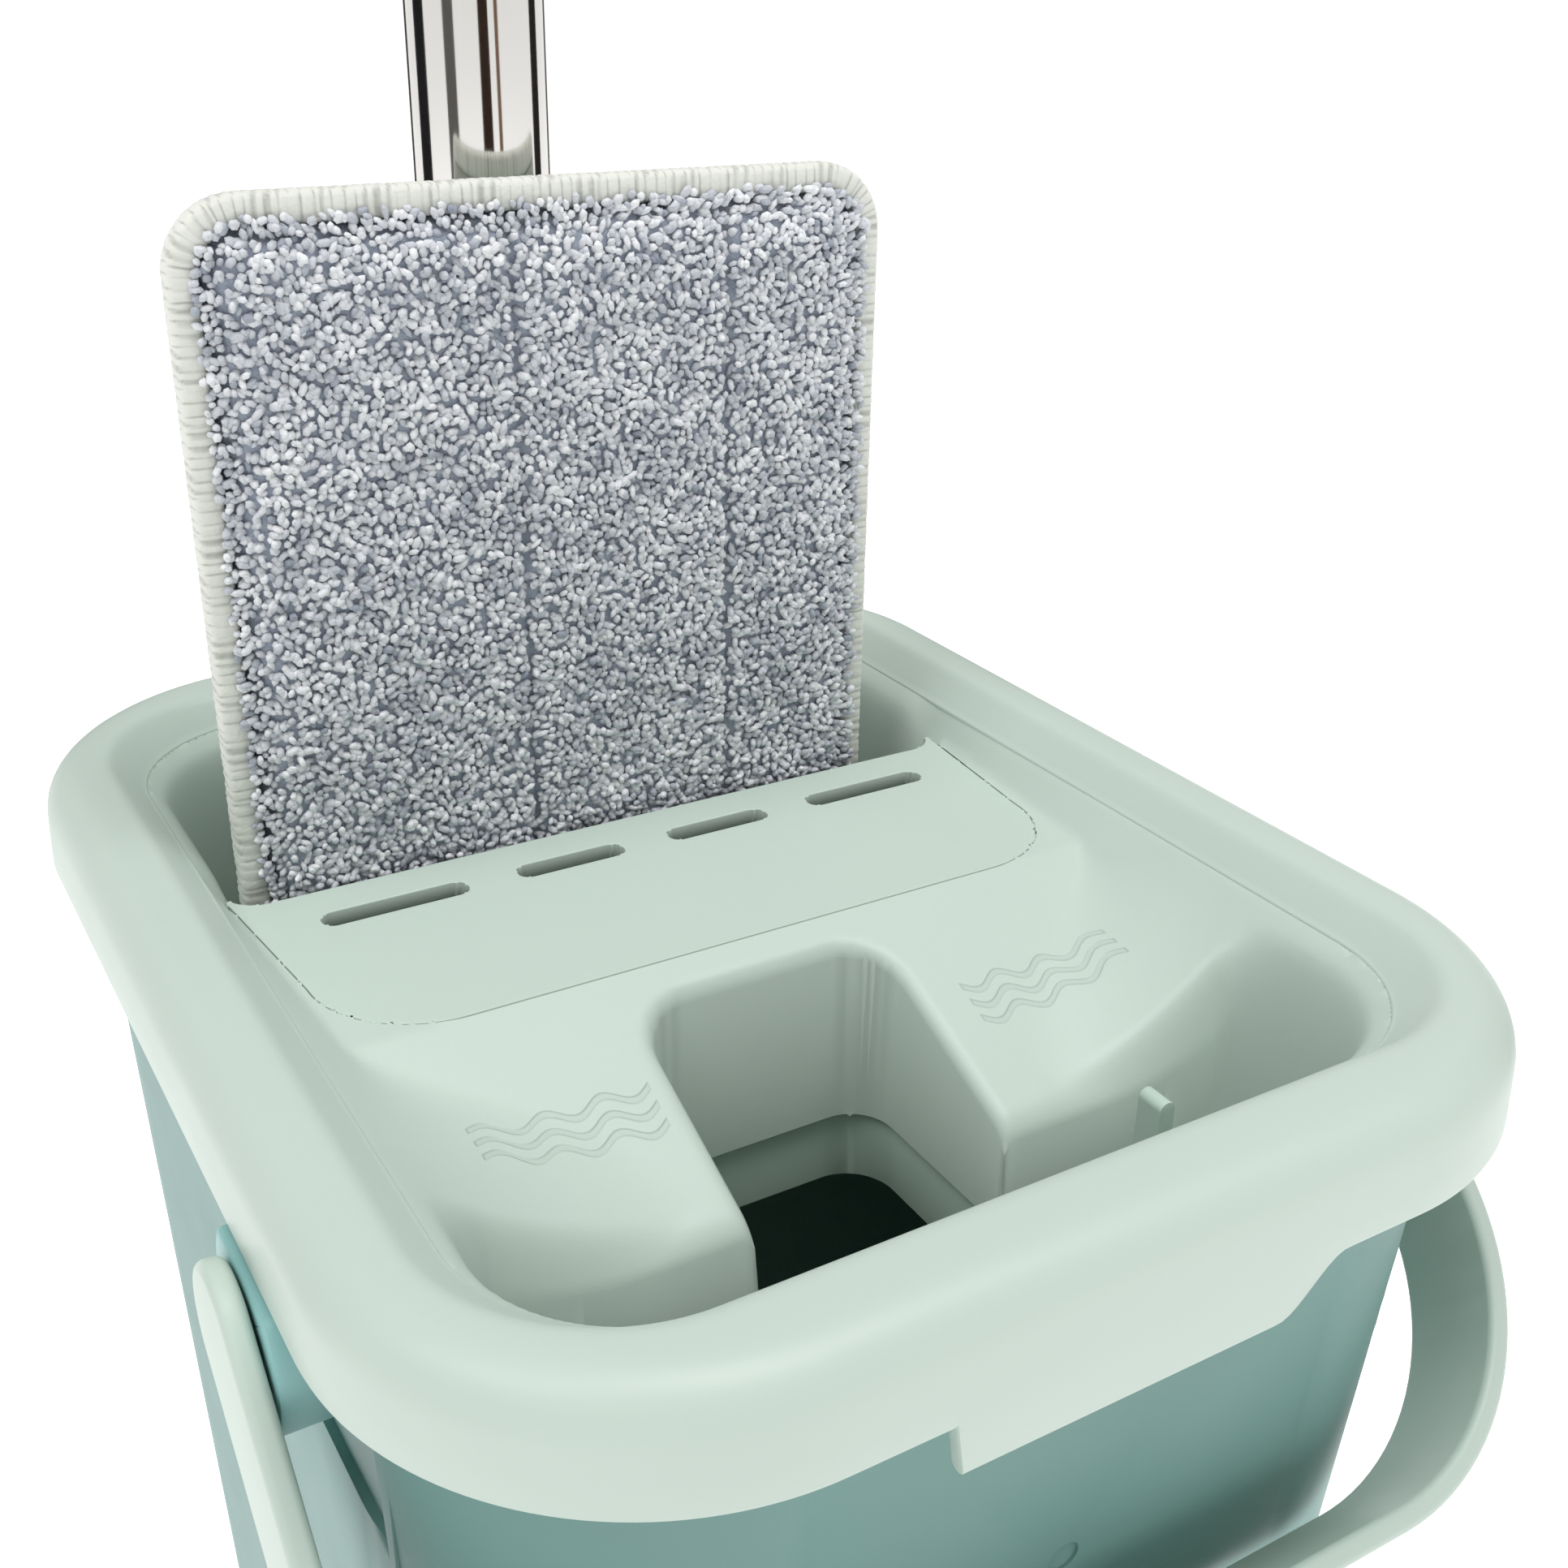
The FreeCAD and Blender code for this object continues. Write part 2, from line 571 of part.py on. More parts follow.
def wash_guide():
    """Guide under the wash opening: flange, the low wall round the notch and one upright tongue."""
    flange_low = TRAY_Z - FLANGE_THICK
    inner_back = NOTCH_BACK_Y + COVER_WALL + 4.0
    flange = tapered([
        (TRAY_HALF_X + COVER_WALL, TRAY_HALF_Y + COVER_WALL, TRAY_CORNER + COVER_WALL, flange_low),
        (TRAY_HALF_X + COVER_WALL, TRAY_HALF_Y + COVER_WALL, TRAY_CORNER + COVER_WALL, TRAY_Z),
    ])
    flange = flange.common(box((-RIM_HALF_X, -RIM_HALF_Y, 0), (RIM_HALF_X, inner_back, RIM_TOP)))
    mouth = (TRAY_HALF_X - FLANGE_LIP, TRAY_HALF_Y - FLANGE_LIP, TRAY_CORNER - FLANGE_LIP)
    opening = tapered([mouth + (flange_low - 1,), mouth + (RIM_TOP,)])
    opening = opening.common(box((-RIM_HALF_X, -RIM_HALF_Y, 0), (RIM_HALF_X, DECK_FRONT_Y - 1, RIM_TOP)))
    top = height(NOTCH_DEPTH)
    wall = notch_block(COVER_WALL, flange_low, top).cut(notch_block(-WASH_INSET, flange_low - 1, top + 1))
    guide = joined([flange, wall]).cut(opening)
    guide = guide.cut(notch_block(-WASH_INSET, flange_low - 1, top + 1))
    half = TONGUE_WIDE / 2
    low = (TONGUE_X - half, TONGUE_Y - TONGUE_THICK / 2, flange_low)
    high = (TONGUE_X + half, TONGUE_Y + TONGUE_THICK / 2, height(TONGUE_TOP_DEPTH) - half)
    tongue = joined([box(low, high), rod(half, (TONGUE_X, low[1], high[2]), (0, 1, 0), TONGUE_THICK)])
    foot = box((low[0], -mouth[1] - 2, flange_low), (high[0], low[1] + 1, TRAY_Z))
    guide = joined([guide, tongue, foot])
    for x, y in screw_places()[:2]:
        guide = guide.cut(rod(SCREW_RADIUS, (x, y, 0), (0, 0, 1), RIM_TOP))
    return guide


def dry_guide():
    """Open box that keeps the mop head upright: front wall, side and back walls, two ribs."""
    low = height(DRY_DEPTH)
    lean = (CREASE_HALF_Y - TRAY_HALF_Y) / (TRAY_DEPTH - CREASE_DEPTH) * WELL_LEAN
    drop = DRY_DEPTH - TRAY_DEPTH

    def well(grow, bottom, top):
        inward = lean * drop
        return tapered([
            (TRAY_HALF_X + grow, TRAY_HALF_Y - inward + grow, TRAY_CORNER + grow, bottom),
            (TRAY_HALF_X + grow, TRAY_HALF_Y + grow, TRAY_CORNER + grow, top),
        ])

    front = DECK_BACK_Y - LIP_BLADE - SCRAPER_THICK
    outside = well(GUIDE_WALL, low, TRAY_Z)
    keep = box((-RIM_HALF_X, front - GUIDE_WALL, 0), (RIM_HALF_X, RIM_HALF_Y, RIM_TOP))
    inside = well(0.0, low - 0.01, TRAY_Z + 0.01)
    inside = inside.common(box((-RIM_HALF_X, front, 0), (RIM_HALF_X, RIM_HALF_Y, RIM_TOP)))
    guide = outside.common(keep).cut(inside)
    plate_back = PLATE_FRONT_Y + PLATE_THICK + PLATE_RIB + 2 * GAP
    for side in (-1, 1):
        x = MOP_X + side * RIB_OFFSET
        rib = box((x - RIB_THICK / 2, plate_back, low), (x + RIB_THICK / 2, RIM_HALF_Y, TRAY_Z))
        guide = joined([guide, rib.common(outside)])
    flange_front = DRY_SCREW_Y - BOSS_RADIUS - 1
    flange = box((-TRAY_HALF_X, flange_front, TRAY_Z - FLANGE_THICK), (TRAY_HALF_X, front, TRAY_Z))
    guide = joined([guide, flange])
    for x, y in screw_places()[2:]:
        guide = guide.cut(rod(SCREW_RADIUS, (x, y, 0), (0, 0, 1), RIM_TOP))
    return guide


def cover_screws():
    """Four pan-head screws driven up into the cover's bosses."""
    screws = []
    flange_low = TRAY_Z - FLANGE_THICK
    for x, y in screw_places():
        head = rod(SCREW_HEAD, (x, y, flange_low - 2.0), (0, 0, 1), 2.0)
        shank = rod(SCREW_RADIUS, (x, y, flange_low), (0, 0, 1), FLANGE_THICK + SCREW_LONG - 0.5)
        screws.append(joined([head, shank]))
    return Part.makeCompound(screws)


# ---------------------------------------------------------------- mop head
PAD_CENTRE_Z = height(-PAD_TOP_UP) - PAD_LENGTH / 2
PILE_BACK_Y = PAD_FRONT_Y + PILE_THICK
BACKING_BACK_Y = PILE_BACK_Y + BACKING_THICK
PLATE_FRONT_Y = BACKING_BACK_Y + HOOK_THICK
HINGE_Z = height(HINGE_DEPTH)
SWAY_Z = HINGE_Z + SWAY_UP


def pad_slab(inset, front_y, back_y):
    """Slab with the pad's outline, moved in by inset."""
    half_x = PAD_WIDTH / 2 - inset
    half_z = PAD_LENGTH / 2 - inset
    return upright_slab(half_x, half_z, PAD_CORNER - inset, MOP_X, PAD_CENTRE_Z, front_y, back_y)


def pad_pile():
    return pad_slab(BINDING_WIDTH, PAD_FRONT_Y, PILE_BACK_Y)


def pad_backing():
    return pad_slab(BINDING_WIDTH, PILE_BACK_Y, BACKING_BACK_Y)


def pad_binding():
    front = BACKING_BACK_Y + 0.4 - BINDING_THICK
    back = BACKING_BACK_Y + 0.4
    return pad_slab(0.0, front, back).cut(pad_slab(BINDING_WIDTH, front - 1, back + 1))


def hook_strips():
    """Two strips of hook tape that hold the pad to the plate."""
    strips = []
    for side in (-1, 1):
        x = MOP_X + side * HOOK_OFFSET
        low = (x - HOOK_WIDTH / 2, BACKING_BACK_Y, PAD_CENTRE_Z - HOOK_LENGTH / 2)
        high = (x + HOOK_WIDTH / 2, PLATE_FRONT_Y, PAD_CENTRE_Z + HOOK_LENGTH / 2)
        strips.append(box(low, high))
    return Part.makeCompound(strips)


def head_plate():
    """Flat plate with a rib round its edge, cross ribs and the two lugs of the hinge."""
    back = PLATE_FRONT_Y + PLATE_THICK
    half_x = PLATE_WIDTH / 2
    half_z = PLATE_LENGTH / 2
    plate = upright_slab(half_x, half_z, PLATE_CORNER, MOP_X, PAD_CENTRE_Z, PLATE_FRONT_Y, back + PLATE_RIB)
    pan = upright_slab(
        half_x - PLATE_RIB_WIDE, half_z - PLATE_RIB_WIDE, PLATE_CORNER - PLATE_RIB_WIDE,
        MOP_X, PAD_CENTRE_Z, back, back + PLATE_RIB + 1)
    pieces = [plate.cut(pan)]
    half = PLATE_RIB_WIDE / 2
    for share in (-0.6, -0.2, 0.2, 0.6):
        z = PAD_CENTRE_Z + share * half_z
        reach = half_x - 1
        pieces.append(box((MOP_X - reach, back - 0.5, z - half), (MOP_X + reach, back + PLATE_RIB, z + half)))
    for side in (-1, 1):
        x = MOP_X + side * (LUG_INNER + LUG_THICK / 2)
        low_x = x - LUG_THICK / 2
        foot = PAD_CENTRE_Z - half_z + 1
        head = PAD_CENTRE_Z + half_z - 1
        pieces.append(box((x - half, back - 0.5, foot), (x + half, back + PLATE_RIB, head)))
        high_x = low_x + LUG_THICK
        pieces.append(box((low_x, back - 0.5, HINGE_Z - LUG_RADIUS), (high_x, POLE_Y, HINGE_Z + LUG_RADIUS)))
        pieces.append(rod(LUG_RADIUS, (low_x, POLE_Y, HINGE_Z), (1, 0, 0), LUG_THICK))
    whole = joined(pieces)
    reach = LUG_INNER + LUG_THICK + 1
    return whole.cut(rod(PITCH_PIN, (MOP_X - reach, POLE_Y, HINGE_Z), (1, 0, 0), 2 * reach))


def pitch_pin():
    reach = LUG_INNER + LUG_THICK
    return rod(PITCH_PIN, (MOP_X - reach, POLE_Y, HINGE_Z), (1, 0, 0), 2 * reach)


def knuckle():
    """Cross block of the swivel: a barrel on the pitch pin and a tongue up to the sway pin."""
    reach = LUG_INNER - GAP
    barrel = rod(BARREL_RADIUS, (MOP_X - reach, POLE_Y, HINGE_Z), (1, 0, 0), 2 * reach)
    low_y = POLE_Y - KNUCKLE_THICK / 2
    web = box((MOP_X - TONGUE_HALF, low_y, HINGE_Z), (MOP_X + TONGUE_HALF, low_y + KNUCKLE_THICK, SWAY_Z))
    head = rod(TONGUE_HALF, (MOP_X, low_y, SWAY_Z), (0, 1, 0), KNUCKLE_THICK)
    block = joined([barrel, web, head])
    bore_start = (MOP_X - reach - 1, POLE_Y, HINGE_Z)
    block = block.cut(rod(PITCH_PIN + PIN_PLAY, bore_start, (1, 0, 0), 2 * reach + 2))
    return block.cut(rod(SWAY_PIN + PIN_PLAY, (MOP_X, low_y - 1, SWAY_Z), (0, 1, 0), KNUCKLE_THICK + 2))


# ---------------------------------------------------------------- pole
CHEEK_INNER = KNUCKLE_THICK / 2 + GAP
CHEEK_OUTER = CHEEK_INNER + CHEEK_THICK
SOCKET_LOW = SWAY_Z + TONGUE_HALF + 4.0
TUBE_LOW = SOCKET_LOW + SOCKET_FLOOR


def pole_socket():
    """Socket of the lowest tube, with the fork that carries the sway pin."""
    body = rod(SOCKET_RADIUS, (MOP_X, POLE_Y, SOCKET_LOW), (0, 0, 1), SOCKET_TALL)
    body = body.makeFillet(2.0, edges_at(body, SOCKET_LOW + SOCKET_TALL))
    body = body.cut(rod(TUBE_RADIUS, (MOP_X, POLE_Y, TUBE_LOW), (0, 0, 1), SOCKET_TALL))
    pieces = [body]
    cheek_half = TONGUE_HALF + 1.0
    for side in (-1, 1):
        edge_y = sorted([POLE_Y + side * CHEEK_INNER, POLE_Y + side * CHEEK_OUTER])
        low = (MOP_X - cheek_half, edge_y[0], SWAY_Z)
        high = (MOP_X + cheek_half, edge_y[1], SOCKET_LOW + 1)
        pieces.append(box(low, high))
        pieces.append(rod(cheek_half, (MOP_X, edge_y[0], SWAY_Z), (0, 1, 0), CHEEK_THICK))
    whole = joined(pieces)
    return whole.cut(rod(SWAY_PIN, (MOP_X, POLE_Y - CHEEK_OUTER - 1, SWAY_Z), (0, 1, 0), 2 * CHEEK_OUTER + 2))


def sway_pin():
    return rod(SWAY_PIN, (MOP_X, POLE_Y - CHEEK_OUTER, SWAY_Z), (0, 1, 0), 2 * CHEEK_OUTER)


TUBE_LENGTHS = [TUBE_LONG, TUBE_LONG, TUBE_LONG, TOP_TUBE_LONG]


def tube_starts():
    """Height of the lower end of each tube."""
    starts = [TUBE_LOW]
    for length in TUBE_LENGTHS[:-1]:
        starts.append(starts[-1] + length + COLLAR_TALL)
    return starts


def pole_tube(number):
    start = (MOP_X, POLE_Y, tube_starts()[number])
    length = TUBE_LENGTHS[number]
    outside = rod(TUBE_RADIUS, start, (0, 0, 1), length)
    return outside.cut(rod(TUBE_RADIUS - TUBE_WALL, start, (0, 0, 1), length))


def pole_coupling(number):
    """Plug that joins two tubes, with the thin collar that shows between them."""
    low = tube_starts()[number] - COLLAR_TALL
    collar = rod(TUBE_RADIUS + COLLAR_PROUD, (MOP_X, POLE_Y, low), (0, 0, 1), COLLAR_TALL)
    start = (MOP_X, POLE_Y, low - SPIGOT_LONG)
    length = 2 * SPIGOT_LONG + COLLAR_TALL
    spigot = rod(TUBE_RADIUS - TUBE_WALL, start, (0, 0, 1), length)
    bore = rod(TUBE_RADIUS - 4 * TUBE_WALL, start, (0, 0, 1), length)
    return joined([collar, spigot]).cut(bore)


TUBE_TOP = tube_starts()[-1] + TOP_TUBE_LONG
GRIP_LOW = TUBE_TOP - GRIP_LONG


def hand_grip():
    """Sleeve over the top tube, with shallow grooves for the fingers."""
    sleeve = rod(GRIP_RADIUS, (MOP_X, POLE_Y, GRIP_LOW), (0, 0, 1), GRIP_LONG)
    sleeve = sleeve.cut(rod(TUBE_RADIUS, (MOP_X, POLE_Y, GRIP_LOW), (0, 0, 1), GRIP_LONG))
    pitch = GRIP_LONG / (GRIP_GROOVES + 1)
    for number in range(GRIP_GROOVES):
        z = GRIP_LOW + (number + 1) * pitch
        groove = Part.makeTorus(GRIP_RADIUS, GROOVE_RADIUS, V(MOP_X, POLE_Y, z), V(0, 0, 1))
        sleeve = sleeve.cut(groove)
    return sleeve


def end_cap():
    """Cap on the grip's end, flattened into an eye for hanging the mop up."""
    collar_tall = CAP_TALL - CAP_THICK - EYE_CLEAR
    collar = rod(GRIP_RADIUS, (MOP_X, POLE_Y, TUBE_TOP), (0, 0, 1), collar_tall)
    eye_z = TUBE_TOP + CAP_TALL - GRIP_RADIUS
    eye = rod(GRIP_RADIUS, (MOP_X, POLE_Y - CAP_THICK / 2, eye_z), (0, 1, 0), CAP_THICK)
    neck_low = (MOP_X - GRIP_RADIUS + 0.5, POLE_Y - CAP_THICK / 2, TUBE_TOP)
    neck = box(neck_low, (MOP_X + GRIP_RADIUS - 0.5, POLE_Y + CAP_THICK / 2, eye_z))
    round_bar = rod(GRIP_RADIUS, (MOP_X, POLE_Y, TUBE_TOP), (0, 0, 1), CAP_TALL)
    upper = joined([eye, neck]).common(round_bar)
    plug = rod(TUBE_RADIUS - TUBE_WALL, (MOP_X, POLE_Y, TUBE_TOP - SPIGOT_LONG), (0, 0, 1), SPIGOT_LONG)
    cap = joined([collar, upper, plug])
    hole_start = (MOP_X, POLE_Y - GRIP_RADIUS - 1, eye_z + 1.0)
    return cap.cut(rod(HANG_RADIUS, hole_start, (0, 1, 0), 2 * GRIP_RADIUS + 2))


# ---------------------------------------------------------------- write every piece
def build():
    save("bucket_shell", bucket_shell())
    save("pivot_bush_left", pivot_bush(-1))
    save("pivot_bush_right", pivot_bush(1))
    save("bail_handle", bail_handle())
    save("bail_pin_left", bail_pin(-1))
    save("bail_pin_right", bail_pin(1))
    save("top_cover", top_cover())
    save("squeeze_panel", squeeze_panel())
    save("scraper_bar", scraper_bar())
    save("squeeze_lip", squeeze_lip())
    save("wash_guide", wash_guide())
    save("dry_guide", dry_guide())
    save("cover_screws", cover_screws())
    save("head_plate", head_plate())
    save("hook_strips", hook_strips())
    save("pad_backing", pad_backing())
    save("pad_pile", pad_pile())
    save("pad_binding", pad_binding())
    save("pitch_pin", pitch_pin())
    save("knuckle", knuckle())
    save("sway_pin", sway_pin())
    save("pole_socket", pole_socket())
    for number in range(len(TUBE_LENGTHS)):
        save("pole_tube_" + str(number + 1), pole_tube(number))
    for number in range(1, len(TUBE_LENGTHS)):
        save("pole_coupling_" + str(number), pole_coupling(number))
    save("hand_grip", hand_grip())
    save("end_cap", end_cap())


build()
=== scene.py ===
# %% [markdown]
# # A flat squeeze mop in its wring bucket
# The mop stands upright in the dry well of a tall bucket. A moulded cover closes the bucket: it has
# a level squeeze panel, a notch for the pole and a wash opening at the front. The exact solids come
# from the CAD frame. This lesson gives them their real surfaces: soft rounded mouldings, satin
# plastic, looped pile, stitched binding and polished steel.

# %% Load the frame
import bpy
import math
import numpy as np
from mathutils import Matrix, Vector


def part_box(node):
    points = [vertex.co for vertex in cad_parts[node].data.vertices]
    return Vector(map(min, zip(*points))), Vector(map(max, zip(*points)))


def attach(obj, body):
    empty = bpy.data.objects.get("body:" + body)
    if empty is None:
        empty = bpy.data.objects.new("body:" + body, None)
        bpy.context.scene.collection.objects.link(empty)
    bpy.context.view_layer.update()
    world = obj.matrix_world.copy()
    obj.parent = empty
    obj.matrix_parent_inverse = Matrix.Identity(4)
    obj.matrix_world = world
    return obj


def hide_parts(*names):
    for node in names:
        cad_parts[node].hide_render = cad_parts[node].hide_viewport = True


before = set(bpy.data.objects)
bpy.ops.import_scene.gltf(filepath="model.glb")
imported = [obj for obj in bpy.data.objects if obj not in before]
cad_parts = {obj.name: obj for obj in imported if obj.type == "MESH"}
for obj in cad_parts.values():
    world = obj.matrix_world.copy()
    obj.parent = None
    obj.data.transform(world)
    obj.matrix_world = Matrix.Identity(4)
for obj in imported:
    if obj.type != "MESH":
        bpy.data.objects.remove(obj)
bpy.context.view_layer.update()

rim_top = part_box("top_cover")[1].z * 1000
print("rim stands", round(rim_top, 1), "mm above the floor")

# %% [markdown]
# ## The camera
# The camera looks down into the cover from the front left, a little closer than half a metre, with
# a slight roll. A short lens at that distance makes the front of the rim loom large.

# %% Camera
eye = Vector((-0.13809, -0.25405, 0.51716))
yaw, pitch, roll = 0.546206, 0.441803, 0.0190143
ahead = Vector((math.sin(yaw) * math.cos(pitch), math.cos(yaw) * math.cos(pitch), -math.sin(pitch)))
level_right = Vector((math.cos(yaw), -math.sin(yaw), 0))
level_up = level_right.cross(ahead)
right = math.cos(roll) * level_right + math.sin(roll) * level_up
up = -math.sin(roll) * level_right + math.cos(roll) * level_up

bpy.ops.object.select_all(action="DESELECT")
bpy.ops.object.camera_add(location=eye)
camera = bpy.context.object
camera.name = "camera"
turn = Matrix((right, up, -ahead)).transposed()
camera.rotation_euler = turn.to_euler()
camera.data.sensor_width = 36.0
camera.data.lens = 41.32
camera.data.clip_start = 0.02
bpy.context.scene.camera = camera
print("camera at", tuple(round(v, 3) for v in eye))

# %% [markdown]
# ## Sums on shader sockets
# A finish is a small network of nodes. Writing its maths as Python expressions keeps it readable,
# so one class wraps a socket and adds a Math node for each operator. A second class holds the
# material and adds every other node.

# %% Signal and Finish
class Signal:
    """A number that comes out of a node and can be used in sums."""

    def __init__(self, finish, socket):
        self.finish = finish
        self.socket = socket

    def sum(self, operation, first, second):
        node = self.finish.node("ShaderNodeMath", {"operation": operation}, {0: first, 1: second})
        return Signal(self.finish, node.outputs[0])

    def __add__(self, other):
        return self.sum("ADD", self, other)

    def __sub__(self, other):
        return self.sum("SUBTRACT", self, other)

    def __rsub__(self, other):
        return self.sum("SUBTRACT", other, self)

    def __mul__(self, other):
        return self.sum("MULTIPLY", self, other)

    __radd__ = __add__
    __rmul__ = __mul__

    def at_most(self, limit):
        return self.sum("MINIMUM", self, limit)


class Finish:
    """A material with one Principled shader."""

    def __init__(self, name, **fixed):
        self.material = bpy.data.materials.new(name)
        self.material.use_nodes = True
        self.tree = self.material.node_tree
        self.shader = self.tree.nodes["Principled BSDF"]
        for socket, value in fixed.items():
            self.shader.inputs[socket.replace("_", " ")].default_value = value

    def node(self, kind, settings=None, values=None):
        node = self.tree.nodes.new(kind)
        for name, value in (settings or {}).items():
            setattr(node, name, value)
        for name, value in (values or {}).items():
            self.feed(node.inputs[name], value)
        return node

    def feed(self, socket, value):
        if isinstance(value, Signal):
            value = value.socket
        if isinstance(value, bpy.types.NodeSocket):
            self.tree.links.new(value, socket)
        else:
            socket.default_value = value

    def place(self, stretch=(1, 1, 1)):
        """Object coordinates, stretched by a factor along each axis."""
        found = self.node("ShaderNodeTexCoord").outputs["Object"]
        return self.node("ShaderNodeMapping", {}, {"Vector": found, "Scale": stretch}).outputs[0]

    def noise(self, scale, detail=3.0, stretch=(1, 1, 1), rough=0.5):
        values = {"Vector": self.place(stretch), "Scale": scale, "Detail": detail, "Roughness": rough}
        return Signal(self, self.node("ShaderNodeTexNoise", {}, values).outputs[0])

    def axis(self, letter):
        parts = self.node("ShaderNodeSeparateXYZ", {}, {0: self.place()})
        return Signal(self, parts.outputs[letter])

    def mix(self, share, first, second):
        """Colour that goes from first to second as share goes from 0 to 1."""
        settings = {"data_type": "RGBA"}
        node = self.node("ShaderNodeMix", settings, {0: share, 6: first, 7: second})
        return node.outputs[2]

    def bump(self, height, depth, strength=1.0):
        values = {"Height": height, "Distance": depth, "Strength": strength}
        node = self.node("ShaderNodeBump", {}, values)
        self.feed(self.shader.inputs["Normal"], node.outputs[0])

    def colour(self, value):
        self.feed(self.shader.inputs["Base Color"], value)

    def rough(self, value):
        self.feed(self.shader.inputs["Roughness"], value)


def paint(red, green, blue):
    """Linear colour from 0 to 255 screen values."""
    linear = [((v / 255 + 0.055) / 1.055) ** 2.4 for v in (red, green, blue)]
    return (*linear, 1.0)


print("finishes can now be written as sums")

# %% [markdown]
# ## Satin plastic
# The cover, the bucket and the bail are moulded polypropylene. Its skin is satin: a fine spark
# eroded grain breaks up highlights, and the colour drifts by a percent or two where the melt
# cooled. Two noises at those two scales are enough, with the grain as a very shallow bump.

# %% Plastics
def moulded(name, tone, gloss, grain=0.000012, drift=0.05):
    finish = Finish(name, Specular_IOR_Level=0.42)
    cloud = finish.noise(9.0, 2.0)
    light = tuple(min(1.0, v * (1 + drift)) for v in tone[:3]) + (1.0,)
    dark = tuple(v * (1 - drift) for v in tone[:3]) + (1.0,)
    finish.colour(finish.mix(cloud, dark, light))
    fine = finish.noise(2600.0, 2.0)
    finish.rough(gloss + 0.10 * finish.noise(60.0, 3.0) + 0.06 * fine)
    finish.bump(fine, grain)
    return finish.material


sage = moulded("sage plastic", paint(190, 205, 195), 0.36)
# The guide mouldings sit down in the wells, so they get the same sage plastic made a little darker and
# greener: painted shade.
shaded_sage = moulded("shaded sage plastic", paint(182, 202, 190), 0.45)
teal = moulded("bucket teal", paint(108, 147, 141), 0.40)
turquoise = moulded("boss turquoise", paint(142, 190, 188), 0.38)
plate_sage = moulded("plate plastic", paint(186, 206, 196), 0.40)
dark_plastic = moulded("dark plastic", paint(88, 100, 98), 0.48)
soft_rubber = moulded("soft lip rubber", paint(84, 100, 94), 0.62, 0.00003)
print("seven plastics")

# %% [markdown]
# ## Polished steel
# The pole is thin stainless tube, polished along its length. Long drawn scratches, far finer along
# the tube than across it, stretch each highlight a little.

# %% Steels
def steel(name, tone, gloss, stretch):
    finish = Finish(name, Metallic=1.0)
    drawn = finish.noise(1800.0, 3.0, stretch)
    smear = finish.noise(14.0, 3.0)
    finish.colour(finish.mix(smear, tone, tuple(v * 0.9 for v in tone[:3]) + (1.0,)))
    finish.rough(gloss + 0.05 * drawn + 0.05 * smear)
    finish.bump(drawn, 0.000003)
    return finish.material


tube_steel = steel("polished steel", paint(222, 220, 216), 0.03, (1, 1, 0.01))
screw_steel = steel("screw steel", paint(196, 197, 196), 0.22, (1, 1, 1))
print("two steels")

# %% [markdown]
# ## Cloth
# The pad has four textiles: the looped microfibre pile, its woven backing, the overlocked binding
# and the hook tape on the plate. The pile's heather comes from a colour attribute that each tuft
# carries, because neighbouring tufts of the real yarn differ in tone; the same attribute also holds
# painted shade that darkens each tuft towards the core.

# %% Cloths
def pile_finish():
    finish = Finish("microfibre pile", Specular_IOR_Level=0.12, Sheen_Weight=0.25, Sheen_Roughness=0.5)
    tone = finish.node("ShaderNodeAttribute", {"attribute_name": "tuft"})
    fibre = finish.noise(1500.0, 3.0)
    shade = finish.mix(0.45 * fibre, tone.outputs["Color"], paint(206, 210, 218))
    finish.colour(shade)
    finish.rough(0.78 + 0.14 * fibre)
    finish.bump(fibre, 0.0004)
    return finish.material


def woven(name, light, dark, pitch, depth):
    """Plain weave, seen as raised squares where warp and weft cross."""
    finish = Finish(name, Specular_IOR_Level=0.2, Sheen_Weight=0.15)
    turns = 2 * math.pi / pitch
    warp = finish.axis("X") * turns
    weft = finish.axis("Z") * turns
    over = warp.sum("SINE", warp, 0) * weft.sum("SINE", weft, 0)
    fuzz = finish.noise(700.0, 3.0)
    finish.colour(finish.mix(0.5 + 0.3 * over + 0.3 * (fuzz - 0.5), dark, light))
    finish.rough(0.82 + 0.1 * fuzz)
    finish.bump(over + 0.5 * fuzz, depth)
    return finish.material


pile = pile_finish()
backing_cloth = woven("pad cloth", paint(214, 216, 208), paint(176, 180, 172), 0.0011, 0.00012)
hook_cloth = woven("hook tape", paint(224, 226, 222), paint(190, 194, 190), 0.0008, 0.0002)
print("pile, backing and hook tape")

# %% [markdown]
# ## Shaping tools
# Most mouldings here are closed loops round a rounded rectangle, or turned parts. Both are a grid
# wrapped round: one direction goes round the loop, the other follows the section. So one helper
# adds a grid, asks for the place of every point and joins the two ends.

# %% Grid helpers
def alone(piece):
    """Make one object the only selected one."""
    bpy.ops.object.select_all(action="DESELECT")
    piece.select_set(True)
    bpy.context.view_layer.objects.active = piece


def grid(name, across, along):
    """A grid primitive, with the share of each point across and along it."""
    bpy.ops.object.select_all(action="DESELECT")
    bpy.ops.mesh.primitive_grid_add(x_subdivisions=across, y_subdivisions=along, size=2)
    piece = bpy.context.object
    piece.name = name
    spots = np.empty(len(piece.data.vertices) * 3)
    piece.data.vertices.foreach_get("co", spots)
    spots = spots.reshape(-1, 3)
    return piece, (spots[:, 0] + 1) / 2, (spots[:, 1] + 1) / 2


def put(piece, x, y, z):
    """Move every vertex, in millimetres."""
    spots = np.stack([x, y, z], axis=1) / 1000
    piece.data.vertices.foreach_set("co", spots.ravel())
    piece.data.update()


